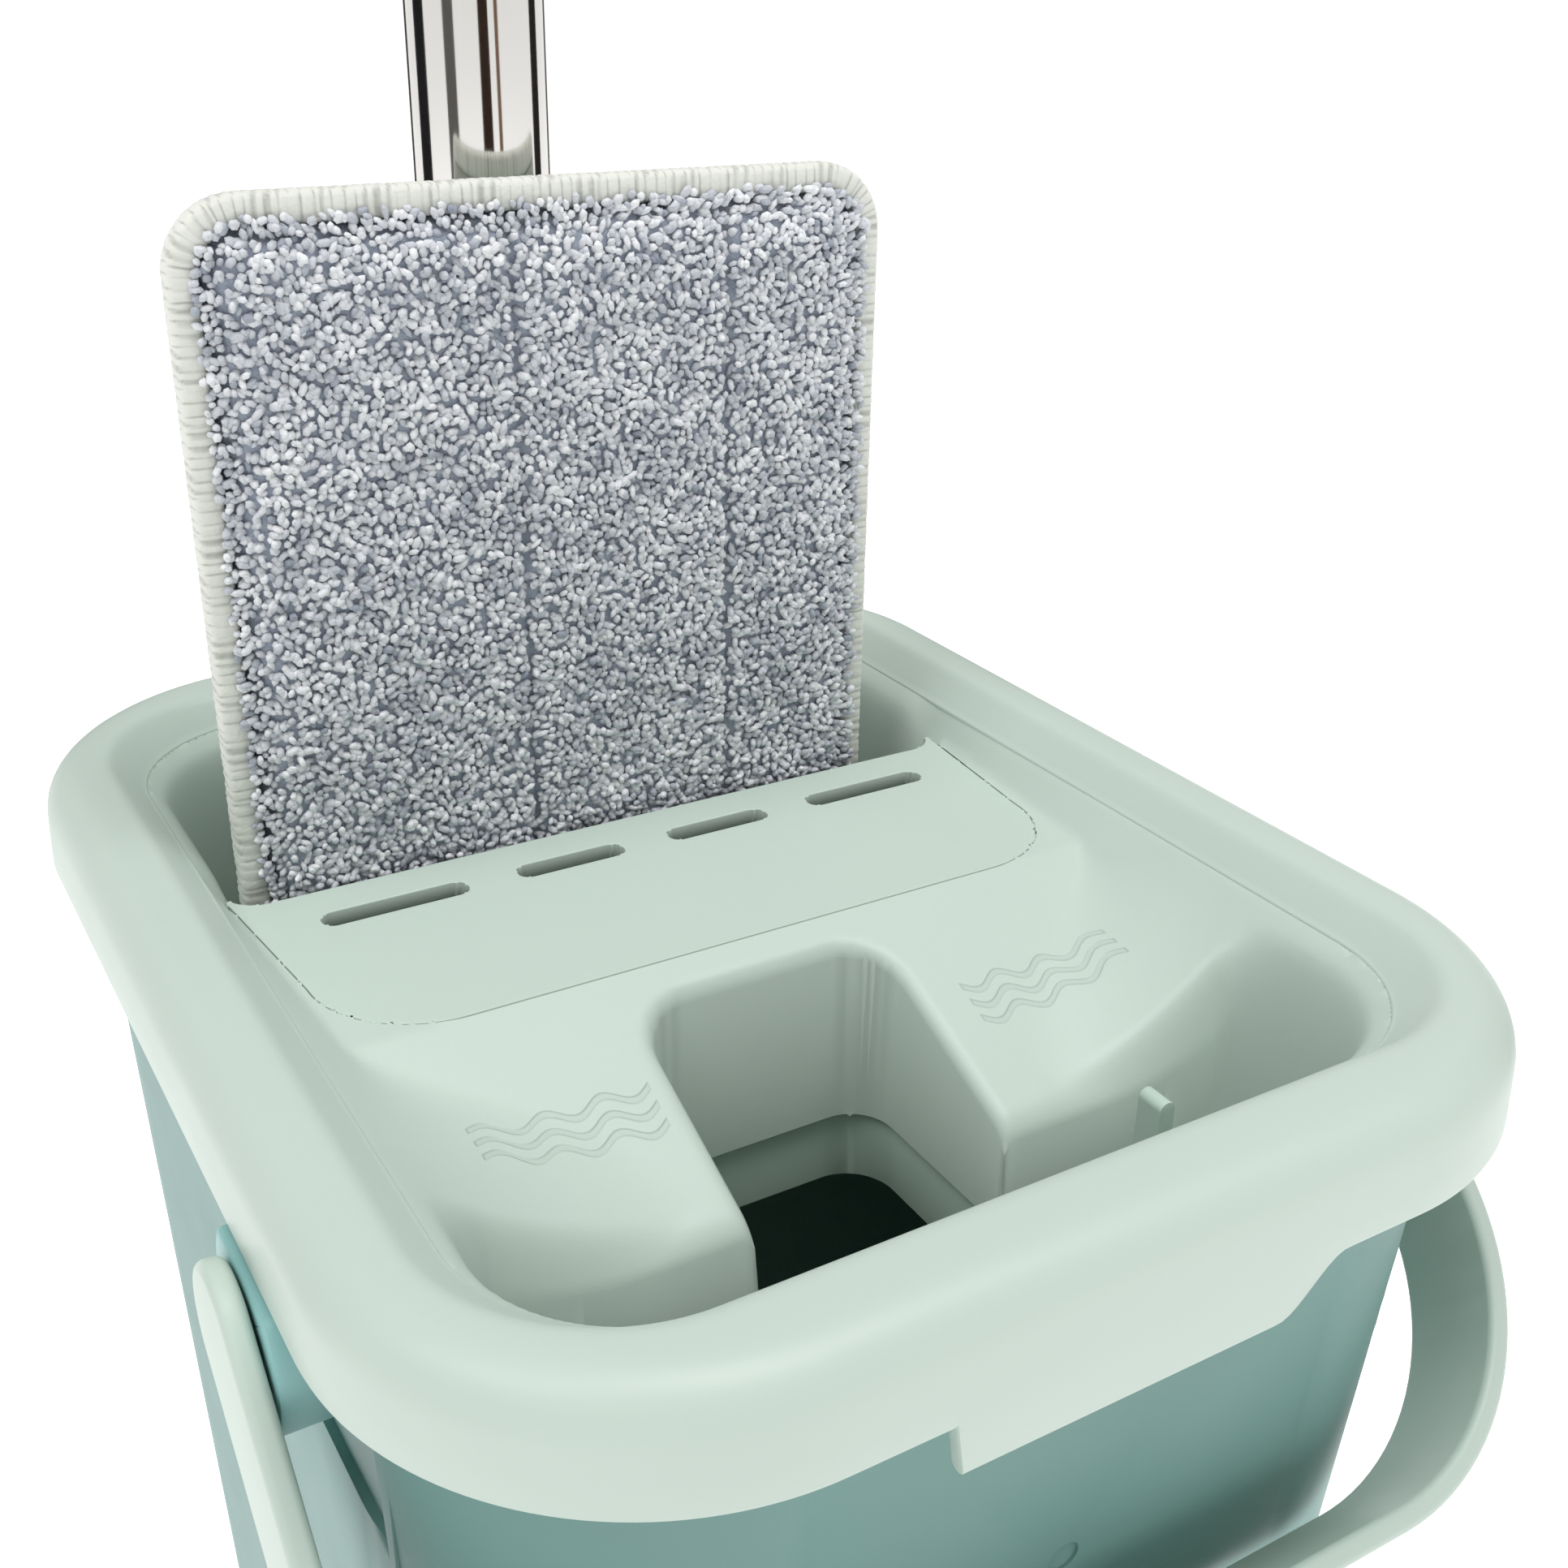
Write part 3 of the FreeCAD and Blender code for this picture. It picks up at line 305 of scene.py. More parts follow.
def heal(piece, gap=0.00001):
    """Merge the two ends of a wrapped grid and turn its faces outwards."""
    alone(piece)
    bpy.ops.object.mode_set(mode="EDIT")
    bpy.ops.mesh.select_all(action="SELECT")
    bpy.ops.mesh.remove_doubles(threshold=gap)
    bpy.ops.mesh.normals_make_consistent(inside=False)
    bpy.ops.object.mode_set(mode="OBJECT")
    return piece


def smooth(piece, degrees=35):
    alone(piece)
    bpy.ops.object.shade_smooth_by_angle(angle=math.radians(degrees))


def apply(piece, name):
    alone(piece)
    bpy.ops.object.modifier_apply(modifier=name)


def finished(piece, material, slot, body, *nodes):
    """Give a piece its finish, let it ride on its body and stand for its CAD nodes."""
    piece.data.materials.clear()
    piece.data.materials.append(material)
    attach(piece, body)
    if nodes:
        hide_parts(*nodes)
    print(piece.name, len(piece.data.polygons), "faces")


def table(share, stops, values):
    return np.interp(share, stops, values)


# %% [markdown]
# ## Rounded rectangles
# Every ring of the cover is a rounded rectangle. All rings use the same count of points on each
# straight and each corner, so a point keeps its place from ring to ring and the section lines run
# true round the corners.

# %% Rounded rectangle
def rectangle_point(share, half_x, half_y, corner, shares):
    """Point on a rounded rectangle. shares gives the parts of the way round that one side along X
    and one side along Y take; the corners share the rest."""
    along_x, along_y = shares
    bend_share = (1 - 2 * along_x - 2 * along_y) / 4
    steps = np.cumsum([0, along_x, bend_share, along_y, bend_share])
    half = (share % 1.0) % 0.5
    turned_round = np.where((share % 1.0) >= 0.5, -1.0, 1.0)
    run_x, run_y = half_x - corner, half_y - corner
    first = np.clip((half - steps[0]) / along_x, 0, 1)
    bend_one = np.clip((half - steps[1]) / bend_share, 0, 1) * math.pi / 2
    second = np.clip((half - steps[2]) / along_y, 0, 1)
    bend_two = np.clip((half - steps[3]) / bend_share, 0, 1) * math.pi / 2
    angle = bend_one + bend_two
    # From the front's left end: along the front, round, up the right side, round.
    hub_x = -run_x + 2 * run_x * first
    hub_y = -run_y + 2 * run_y * second
    x = hub_x + corner * np.sin(angle)
    y = hub_y - corner * np.cos(angle)
    return turned_round * x, turned_round * y


def distance_in(x, y, half_x, half_y, corner):
    """How far a point is inside a rounded rectangle, negative outside."""
    over_x = np.abs(x) - (half_x - corner)
    over_y = np.abs(y) - (half_y - corner)
    outside = np.hypot(np.maximum(over_x, 0), np.maximum(over_y, 0))
    return corner - outside - np.minimum(np.maximum(over_x, over_y), 0)


print("rounded rectangles ready")

# %% [markdown]
# ## The cover's rim
# The rim is a hollow bead: a skirt outside, a generous round over the top, a flat, a soft inner
# edge and a slope down to the crease, where a hair-thin raised line catches the light. A pull tab
# hangs from the front skirt. It is one section swept round, so it is a wrapped grid whose rings
# are listed from the crease outwards and back underneath.

# %% Rim
crease, crease_depth = (80.75, 104.1, 28.0), 5.6
mouth = (87.0, 109.0, 30.7)
outer = (99.6, 125.0, 51.0)


def moved(outline, step):
    return (outline[0] + step, outline[1] + step, outline[2] + step)


rim_rings = [(*moved(crease, -0.5), -7.6), (*moved(crease, -0.45), -5.98), (*moved(crease, -0.3), -5.75)]
rim_rings += [(*moved(crease, -0.05), -5.58), (*moved(crease, 0.35), -5.3), (*moved(crease, 0.8), -4.85)]
rim_rings += [(*moved(mouth, -1.9), -1.55), (*moved(mouth, -1.1), -0.86), (*moved(mouth, -0.2), -0.36)]
rim_rings += [(*moved(mouth, 0.8), -0.08), (*moved(mouth, 1.9), 0.0)]
for step in range(0, 11):
    angle = math.radians(9 * step)
    rim_rings.append((*moved(outer, -8.4 + 8.0 * math.sin(angle)), -8.0 + 8.0 * math.cos(angle)))
rim_rings += [(*moved(outer, -0.2), -12.0), (*moved(outer, 0.0), -16.6), (*moved(outer, -0.2), -17.2)]
rim_rings += [(*moved(outer, -0.8), -17.5), (*moved(outer, -1.7), -17.5), (*moved(outer, -2.3), -17.1)]
rim_rings += [(*moved(outer, -2.6), -16.4), (*moved(outer, -3.0), -8.5), (*moved(outer, -9.0), -3.4)]
rim_rings += [(*moved(mouth, 2.0), -3.4), (*moved(crease, 2.6), -8.6), (*moved(crease, -0.5), -8.8)]
rim_rings += [rim_rings[0]]

around = 440
rim, way_round, section = grid("rim", around, len(rim_rings) - 1)
ring = section * (len(rim_rings) - 1)
count = np.arange(len(rim_rings))
half_x, half_y, corner, drop = [table(ring, count, [r[i] for r in rim_rings]) for i in range(4)]
x, y = rectangle_point(way_round, half_x, half_y, corner, (0.17, 0.15))
# The tab drops sharply on its left and eases up on its right.
ease = np.clip((34.0 - x) / 12.0, 0, 1)
tab = np.where(x > -33.0, ease * ease * (3 - 2 * ease), 0.0)
low = np.clip((-drop - 9.0) / 7.5, 0, 1) * (y < -70) * (half_y > 118)
put(rim, x, y, rim_top + drop - 8.5 * tab * low)
heal(rim)
print("rim rings:", len(rim_rings))

# %% [markdown]
# ## The panel's outline
# The squeeze panel drops into a seat in the deck, and the seam between them is a hairline. A grid
# follows such an outline when the points next to it are slid onto it and the faces past it are
# deleted. That needs only the distance from each point to the outline.

# %% Distance to the panel's outline
panel_front, panel_back = 73.0, 77.0
seam_y, deck_back, ear_y = -17.0, 35.2, 41.0
panel_depth = 12.0


def panel_edge(gap):
    """Outline of the squeeze panel, grown by a gap, from the middle of its front seam round."""
    corner = 20.0 + gap
    hub_x, hub_y = panel_front + gap - corner, seam_y - gap + corner
    turn = np.radians(np.arange(0, 91, 5))
    right_x = list(hub_x + corner * np.sin(turn))
    right_y = list(hub_y - corner * np.cos(turn))
    tip = np.array([panel_back + gap, ear_y + gap])
    end = np.array([68.0, deck_back + gap])
    middle = (tip + end) / 2 + np.array([1.0, -2.0])
    for share in np.linspace(0, 1, 7):
        spot = (1 - share) * (1 - 2 * share) * tip + 4 * share * (1 - share) * middle
        spot = spot + share * (2 * share - 1) * end
        right_x.append(spot[0])
        right_y.append(spot[1])
    all_x = np.array(right_x + [-v for v in reversed(right_x)])
    return all_x, np.array(right_y + list(reversed(right_y)))


def inside_panel(x, y, gap):
    """Distance inside the panel's outline, negative outside."""
    edge_x, edge_y = panel_edge(gap)
    next_x, next_y = np.roll(edge_x, -1), np.roll(edge_y, -1)
    nearest = np.full(x.shape, 1e9)
    crossings = np.zeros(x.shape, dtype=int)
    for ax, ay, bx, by in zip(edge_x, edge_y, next_x, next_y):
        long_x, long_y = bx - ax, by - ay
        share = np.clip(((x - ax) * long_x + (y - ay) * long_y) / (long_x ** 2 + long_y ** 2), 0, 1)
        nearest = np.minimum(nearest, np.hypot(x - ax - share * long_x, y - ay - share * long_y))
        if ay != by:
            spans = (ay > y) != (by > y)
            crossings += spans & (x < ax + (y - ay) / (by - ay) * long_x)
    return np.where(crossings % 2 == 1, nearest, -nearest)


def slid(x, y, field, reach):
    """Slide the points within reach of the field's zero line onto it."""
    for _ in range(3):
        value = field(x, y)
        slope_x = (field(x + 0.05, y) - field(x - 0.05, y)) / 0.1
        slope_y = (field(x, y + 0.05) - field(x, y - 0.05)) / 0.1
        near = np.abs(value) < reach
        x = np.where(near, x - value * slope_x, x)
        y = np.where(near, y - value * slope_y, y)
    return x, y


print("panel outline has", len(panel_edge(0.3)[0]), "points")

# %% [markdown]
# ## The cover's deck
# Inside the rim the cover is one flowing skin: level at the squeeze panel, falling to the front,
# rolled over above the wash opening, cut by the pole's notch and running up the sides into the
# rim. Such a skin is a height field, so a fine grid is lifted point by point. Where two surfaces
# meet, a smooth maximum gives the blend its radius.

# %% Deck surface
def smooth_max(first, second, blend):
    share = np.clip(0.5 + 0.5 * (first - second) / blend, 0, 1)
    return second + (first - second) * share + blend * share * (1 - share)


def soft_step(value, start, end):
    share = np.clip((value - start) / (end - start), 0, 1)
    return share * share * (3 - 2 * share)


def rolled_drop(step, radius, tilt=0.0, steep=80.0):
    """Fall past an edge: a round of that radius, then a steep wall."""
    first, last = math.atan(tilt), math.atan(steep)
    reach = radius * (math.sin(last) - math.sin(first))
    turn = np.arcsin(np.clip(step / radius + math.sin(first), -1, math.sin(last)))
    fall = radius * (math.cos(first) - np.cos(turn))
    return np.where(step <= 0, 0.0, fall + np.maximum(step - reach, 0) * steep)


fall_slope = 18.0 / 43.0
roll_from, roll_radius = -59.9, 9.0
notch_x, notch_half, notch_back, notch_corner = -2.5, 26.5, -21.5, 12.0


def inside_notch(x, y):
    return distance_in(x - notch_x, y - (notch_back - 100.0), notch_half, 100.0, notch_corner)


deck, share_x, share_y = grid("deck", 172, 216)
x = (share_x * 2 - 1) * (crease[0] + 3.0)
y = (share_y * 2 - 1) * (crease[1] + 3.0)
x, y = slid(x, y, lambda x, y: inside_panel(x, y, 0.3), 0.5)
for depth_in in (2.55, 3.65):
    x, y = slid(x, y, lambda x, y: inside_notch(x, y) - depth_in, 0.55)
for line_y in (-65.9, -66.9):
    x, y = slid(x, y, lambda x, y: line_y - y, 0.5)
inside = distance_in(x, y, *crease)

level = -panel_depth - fall_slope * np.clip(seam_y - y, 0, seam_y - roll_from)
level -= rolled_drop(roll_from - y, roll_radius, fall_slope)
level -= rolled_drop(y - (deck_back - 1.0), 0.8)
level -= rolled_drop(inside_notch(x, y), 2.6)

panel_half = table(y, [seam_y, ear_y], [panel_front, panel_back]) + 0.4
beside = 6.4 / (crease[0] - panel_half)
opening = np.maximum(soft_step(y, 37.0, 50.0), soft_step(-y, 58.0, 76.0))
lean = 0.86 + (beside - 0.86) * (1 - opening) * soft_step(y, -30.0, -15.0)
dive = np.clip((inside - 3.0) / 9.0, 0, 1)
wall = -crease_depth - lean * inside - 55.0 * opening * dive ** 2
wall = wall - 60.0 * soft_step(crease[0] - np.abs(x), 50.0, 57.0)
wall = np.where(inside < 0, -crease_depth + 2.5 * inside, wall)
blend = 0.8 + 17.0 * soft_step(-y, 17.0, 48.0)
lift = smooth_max(level, wall, blend)
lift = np.where(inside < 1.0, wall, lift)
floor_cut = -50.0
put(deck, x, y, rim_top + np.maximum(lift, floor_cut))
print("deck lowest", round(float(np.maximum(lift, floor_cut).min()), 1))

# %% [markdown]
# The openings are where the height field has reached its floor, the strip outside the crease lies
# hidden under the rim, and the squeeze panel has its own piece. All three are deleted, and Solidify
# gives the skin its wall.

# %% Deck thickness
def drop_faces(piece, gone):
    """Delete the faces whose points are all gone, and merge points that slid together."""
    flags = np.array([all(gone[v] for v in face.vertices) for face in piece.data.polygons])
    alone(piece)
    bpy.ops.object.mode_set(mode="EDIT")
    bpy.ops.mesh.select_mode(type="FACE")
    bpy.ops.mesh.select_all(action="DESELECT")
    bpy.ops.object.mode_set(mode="OBJECT")
    piece.data.polygons.foreach_set("select", flags)
    bpy.ops.object.mode_set(mode="EDIT")
    bpy.ops.mesh.delete(type="FACE")
    bpy.ops.mesh.select_all(action="SELECT")
    bpy.ops.mesh.remove_doubles(threshold=0.00025)
    bpy.ops.object.mode_set(mode="OBJECT")


deep = (lift < floor_cut) | (inside < -1.6) | (inside_panel(x, y, 0.3) > -0.02)
drop_faces(deck, deep)
skin = deck.modifiers.new("wall", "SOLIDIFY")
skin.thickness = 0.0024
skin.offset = -1.0
apply(deck, "wall")
print("deck faces", len(deck.data.polygons))

# %% Copies of CAD nodes
def copied(node, name):
    """A merged copy of a CAD node's mesh, ready to be bevelled."""
    piece = bpy.data.objects.new(name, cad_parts[node].data.copy())
    bpy.context.scene.collection.objects.link(piece)
    alone(piece)
    bpy.ops.object.mode_set(mode="EDIT")
    bpy.ops.mesh.select_all(action="SELECT")
    bpy.ops.mesh.remove_doubles(threshold=0.000005)
    bpy.ops.mesh.tris_convert_to_quads(face_threshold=0.02, shape_threshold=3.0)
    bpy.ops.object.mode_set(mode="OBJECT")
    return piece


def softened(node, name, width, segments=2, degrees=40):
    """A CAD node's shape with its sharp edges rounded."""
    piece = copied(node, name)
    edge = piece.modifiers.new("edges", "BEVEL")
    edge.width = width
    edge.segments = segments
    edge.limit_method = "ANGLE"
    edge.angle_limit = math.radians(degrees)
    apply(piece, "edges")
    smooth(piece, 30)
    return piece


# %% [markdown]
# ## Wave marks
# Two small marks of three ripples are pressed into the falling part of the deck, one each side of
# the notch, to show which opening is for washing. They are only a third of a millimetre deep, so
# they belong in the finish: a groove in the bump, worked out from the place on the cover, with
# painted shade darkening the groove's colour a little.

# %% Cover finish
def cover_finish():
    finish = Finish("cover plastic", Specular_IOR_Level=0.42)
    across = finish.axis("X") * 1000
    across = across.sum("ABSOLUTE", across, 0) - 46.5
    along = finish.axis("Y") * 1000 + 41.5
    swing = across * (2 * math.pi / 10.0)
    wave = along - 1.1 * swing.sum("SINE", swing, 0)
    wave = wave.sum("ABSOLUTE", wave, 0)
    second = wave - 3.3
    line = wave.sum("MINIMUM", wave, second.sum("ABSOLUTE", second, 0))
    ends = across.sum("ABSOLUTE", across, 0) - 15.0
    line = line.sum("MAXIMUM", line, ends)
    ramp = {"interpolation_type": "SMOOTHSTEP"}
    limits = {"Value": line, "From Min": 0.35, "From Max": 0.85, "To Min": 1.0, "To Max": 0.0}
    groove = Signal(finish, finish.node("ShaderNodeMapRange", ramp, limits).outputs[0])
    cloud = finish.noise(9.0, 2.0)
    body = finish.mix(cloud, paint(187, 202, 192), paint(195, 209, 200))
    # Painted shade: the colour is darkened a little inside the groove, for the shadow in the pressed mark.
    finish.colour(finish.mix(0.16 * groove, body, paint(140, 160, 150)))
    fine = finish.noise(2600.0, 2.0)
    finish.rough(0.34 + 0.10 * finish.noise(60.0, 3.0) + 0.06 * fine)
    finish.bump(0.06 * fine - groove, 0.0002)
    return finish.material


cover_skin = cover_finish()
print("wave marks in", cover_skin.name)

# %% Join the cover
alone(deck)
rim.select_set(True)
bpy.ops.object.join()
deck.name = "cover_moulding"
smooth(deck, 40)
finished(deck, cover_skin, "sage_plastic", "cover", "top_cover")

# %% [markdown]
# ## The squeeze panel
# The panel is a flat plate with four slots that let water through. It is trimmed from a fine grid
# in the same way as its seat, given its thickness, and its sharp edges get a small round.

# %% Squeeze panel
slots = [(-50.25, 27.5), (-15.8, 21.8), (15.8, 21.8), (50.25, 27.5)]
slot_y, slot_half_wide = 24.0, 2.5


def inside_plate(x, y):
    field = inside_panel(x, y, 0.0)
    for middle, length in slots:
        slot = distance_in(x - middle, y - slot_y, length / 2, slot_half_wide, 2.2)
        field = np.minimum(field, -slot)
    return field


plate, share_x, share_y = grid("wringing_panel", 240, 92)
x, y = (share_x * 2 - 1) * 79.0, -18.5 + share_y * 61.0
x, y = slid(x, y, inside_plate, 0.34)
put(plate, x, y, np.full_like(x, rim_top - panel_depth))
drop_faces(plate, inside_plate(x, y) < 0.02)
skin = plate.modifiers.new("wall", "SOLIDIFY")
skin.thickness = 0.003
skin.offset = -1.0
apply(plate, "wall")
edge = plate.modifiers.new("edges", "BEVEL")
edge.width = 0.0006
edge.segments = 2
edge.limit_method = "ANGLE"
edge.angle_limit = math.radians(60)
apply(plate, "edges")
smooth(plate, 35)
finished(plate, sage, "sage_plastic", "cover", "squeeze_panel")

# %% [markdown]
# ## Bucket, bail and the small mouldings
# These shapes are right as designed: straight draughted walls, arms and plates. What they lack is
# the small round that every moulded edge has, which is what shows as a bright line. Each is a
# merged copy of its solid with a bevel on its sharp edges, except the bail, which is only merged
# and shaded smooth.

# %% Softened mouldings
mouldings = [
    ("bucket_shell", "bucket_moulding", 0.0009, teal, "bucket_teal", "bucket"),
    ("pivot_bush_left", "boss_left", 0.0010, turquoise, "boss_turquoise", "bucket"),
    ("pivot_bush_right", "boss_right", 0.0010, turquoise, "boss_turquoise", "bucket"),
    ("bail_handle", "bail_moulding", 0.0, sage, "sage_plastic", "bail"),
    ("scraper_bar", "scraper", 0.0005, shaded_sage, "guide_plastic", "cover"),
    ("squeeze_lip", "soft_blade", 0.0003, soft_rubber, "soft_lip", "cover"),
    ("wash_guide", "wash_moulding", 0.0005, shaded_sage, "guide_plastic", "cover"),
    ("dry_guide", "dry_moulding", 0.0005, shaded_sage, "guide_plastic", "cover"),
    ("head_plate", "plate_moulding", 0.0006, plate_sage, "plate_plastic", "mop_head"),
    ("knuckle", "swivel_block", 0.0007, dark_plastic, "dark_plastic", "knuckle"),
    ("pole_socket", "socket_moulding", 0.0008, plate_sage, "plate_plastic", "pole"),
    ("hand_grip", "grip_sleeve", 0.0006, plate_sage, "plate_plastic", "pole"),
    ("end_cap", "hanging_cap", 0.0010, plate_sage, "plate_plastic", "pole"),
]
for node, name, width, material, slot, body in mouldings:
    piece = softened(node, name, width) if width else copied(node, name)
    if not width:
        smooth(piece, 40)
    finished(piece, material, slot, body, node)

# %% Finishes of the carried CAD nodes
carried = {
    "bail_pin_left": sage, "bail_pin_right": sage, "cover_screws": screw_steel,
    "pitch_pin": screw_steel, "sway_pin": screw_steel,
    "pole_coupling_1": dark_plastic, "pole_coupling_2": dark_plastic, "pole_coupling_3": dark_plastic,
}
for node, material in carried.items():
    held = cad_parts[node]
    held.data.materials.clear()
    held.data.materials.append(material)
print(len(carried), "CAD nodes carried over with new finishes")

# %% [markdown]
# ## The pole's tubes
# A mirror shows every facet, so the tubes are turned afresh with many sides: outside, a rolled end,
# the bore, and the other end, wrapped as one closed section.

# %% Tubes
def turned(name, profile, centre, sides=128):
    """A closed (radius, height) profile spun about a vertical axis."""
    piece, share, section = grid(name, sides, len(profile) - 1)
    place = section * (len(profile) - 1)
    count = np.arange(len(profile))
    radius = table(place, count, [p[0] for p in profile])
    level = table(place, count, [p[1] for p in profile])
    angle = share * 2 * math.pi
    put(piece, centre[0] + radius * np.cos(angle), centre[1] + radius * np.sin(angle), level)
    return heal(piece)


for number in range(1, 5):
    low, high = [corner * 1000 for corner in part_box("pole_tube_" + str(number))]
    middle = ((low.x + high.x) / 2, (low.y + high.y) / 2)
    radius, bore, curl = (high.x - low.x) / 2, (high.x - low.x) / 2 - 0.8, 0.25
    profile = [(radius - curl, low.z), (radius, low.z + curl), (radius, high.z - curl)]
    profile += [(radius - curl, high.z), (bore, high.z), (bore, low.z), (radius - curl, low.z)]
    tube = turned("steel_tube_" + str(number), profile, middle)
    smooth(tube, 30)
    finished(tube, tube_steel, "polished_steel", "pole", "pole_tube_" + str(number))

# %% [markdown]
# ## The microfibre pile
# The pad is a thick looped pile on a flat core. Real pile is thousands of soft tufts leaning every
# way, so it is built like that: a crowned core with two sewn channels, and one small tuft copied
# all over it, each copy turned, leaned and tinted by a seeded draw. Neighbours share their tone in
# drifts, which gives the heather.

# %% Pile core
draw = np.random.default_rng(11)
pile_low, pile_high = [corner * 1000 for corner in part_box("pad_pile")]
pile_middle = np.array([(pile_low.x + pile_high.x) / 2, (pile_low.z + pile_high.z) / 2])
pile_half = np.array([(pile_high.x - pile_low.x) / 2, (pile_high.z - pile_low.z) / 2])
channels = (26.0, -16.0)


def pile_face(x, z):
    """Distance of the core's face in front of the backing."""
    edge = distance_in(x - pile_middle[0], z - pile_middle[1], pile_half[0], pile_half[1], 8.0)
    rise = 5.2 * (1 - np.exp(-np.maximum(edge, 0) / 2.2))
    for line in channels:
        rise = rise - 1.5 * np.exp(-((x - line) / 1.1) ** 2)
    rise = rise + 0.35 * np.sin(x / 5.3 + np.sin(z / 7.1)) * np.sin(z / 6.1)
    return np.maximum(rise, 0.3)


core, share_x, share_z = grid("pad_core", 90, 220)
x = pile_middle[0] + (share_x * 2 - 1) * (pile_half[0] - 0.2)
z = pile_middle[1] + (share_z * 2 - 1) * (pile_half[1] - 0.2)
back = pile_high.y
put(core, x, back - pile_face(x, z), z)
alone(core)
bpy.ops.object.mode_set(mode="EDIT")
bpy.ops.mesh.select_all(action="SELECT")
bpy.ops.mesh.extrude_region_move(TRANSFORM_OT_translate={"value": (0, 0, 0)})
bpy.ops.object.mode_set(mode="OBJECT")
chosen = [v for v in core.data.vertices if v.select]
for vertex in chosen:
    vertex.co.y = back / 1000
heal(core, 0.0)
print("core", len(core.data.polygons), "faces")

# %% Tufts
bpy.ops.object.select_all(action="DESELECT")
bpy.ops.mesh.primitive_ico_sphere_add(subdivisions=1, radius=1)
seed = bpy.context.object
tuft = np.array([v.co for v in seed.data.vertices])
tuft_faces = np.array([f.vertices for f in seed.data.polygons])
bpy.data.objects.remove(seed)

step = 1.3
across = np.arange(-pile_half[0] - 2.0, pile_half[0] + 2.0, step)
upward = np.arange(-pile_half[1] - 2.0, pile_half[1] + 2.0, step)
x, z = [v.ravel() for v in np.meshgrid(across, upward)]
x = pile_middle[0] + x + draw.uniform(-0.7, 0.7, x.size)
z = pile_middle[1] + z + draw.uniform(-0.7, 0.7, z.size)
inside_pile = distance_in(x - pile_middle[0], z - pile_middle[1], *pile_half, 8.0) > -1.8
gap = np.min([np.abs(x - line) for line in channels], axis=0)
kept = inside_pile & ((gap > 0.75) | (draw.random(x.size) < 0.45))
x, z = x[kept], z[kept]
total = x.size
spin = draw.uniform(0, 2 * math.pi, total)
edge_in = distance_in(x - pile_middle[0], z - pile_middle[1], *pile_half, 8.0)
outward = np.arctan2((x - pile_middle[0]) / pile_half[0], 0.35 * (z - pile_middle[1]) / pile_half[1])
spin = np.where(edge_in < 3.5, outward + draw.normal(0, 0.6, total), spin)
lean = draw.uniform(0.1, 0.95, total)
long_way = np.stack([np.sin(spin) * np.cos(lean), -np.sin(lean), np.cos(spin) * np.cos(lean)], axis=1)
side_way = np.cross(long_way, np.array([0.0, 1.0, 0.0]))
side_way /= np.linalg.norm(side_way, axis=1, keepdims=True)
out_way = np.cross(side_way, long_way)
size = np.stack([
    draw.uniform(0.9, 1.7, total), draw.uniform(0.55, 0.95, total), draw.uniform(0.5, 0.85, total)])
body_points = tuft[None, :, 0:1] * (side_way * size[1][:, None])[:, None, :]
body_points = body_points + tuft[None, :, 1:2] * (out_way * size[2][:, None])[:, None, :]
body_points = body_points + tuft[None, :, 2:3] * (long_way * size[0][:, None])[:, None, :]
height_out = np.maximum(pile_face(x, z), 3.1) + draw.uniform(0.0, 1.0, total)
middles = np.stack([x, back - height_out, z], axis=1)
points = body_points + middles[:, None, :]
points[:, :, 1] = np.clip(points[:, :, 1], pile_low.y + 0.02, back)
drift = np.sin(x / 3.1 + 2 * np.sin(z / 4.7)) * np.sin(z / 2.6 + 1.7 * np.sin(x / 5.9))
tone = np.clip(0.72 + 0.24 * drift + draw.normal(0, 0.24, total), 0, 1)
light, slate = np.array(paint(246, 247, 249)[:3]), np.array(paint(132, 141, 157)[:3])
tint = slate + (light - slate) * tone[:, None]
tint = np.repeat(tint[:, None, :], len(tuft), axis=1)
# Painted shade: each tuft is darkened towards the core and lightened at its outer tip, for the shadow deep
# in the pile.
tip = 0.92 + 0.16 * np.clip(-body_points[:, :, 1] / 0.9, -1, 1)
tint = np.clip(tint * tip[:, :, None], 0, 1)

mesh = bpy.data.meshes.new("tufts")
faces = tuft_faces[None, :, :] + (np.arange(total) * len(tuft))[:, None, None]
mesh.from_pydata((points.reshape(-1, 3) / 1000).tolist(), [], faces.reshape(-1, 3).tolist())
layer = mesh.color_attributes.new("tuft", "FLOAT_COLOR", "POINT")
layer.data.foreach_set("color", np.concatenate([tint, np.ones_like(tint[:, :, :1])], axis=2).ravel())
tufts = bpy.data.objects.new("pile_tufts", mesh)
bpy.context.scene.collection.objects.link(tufts)
base = core.data.color_attributes.new("tuft", "FLOAT_COLOR", "POINT")
deep_slate = (*(slate * 1.3), 1.0)
base.data.foreach_set("color", np.tile(deep_slate, len(core.data.vertices)))
alone(tufts)
core.select_set(True)
bpy.ops.object.join()
tufts.data.polygons.foreach_set("use_smooth", np.ones(len(tufts.data.polygons), dtype=bool))
finished(tufts, pile, "microfibre_pile", "mop_head", "pad_pile")
print(total, "tufts")
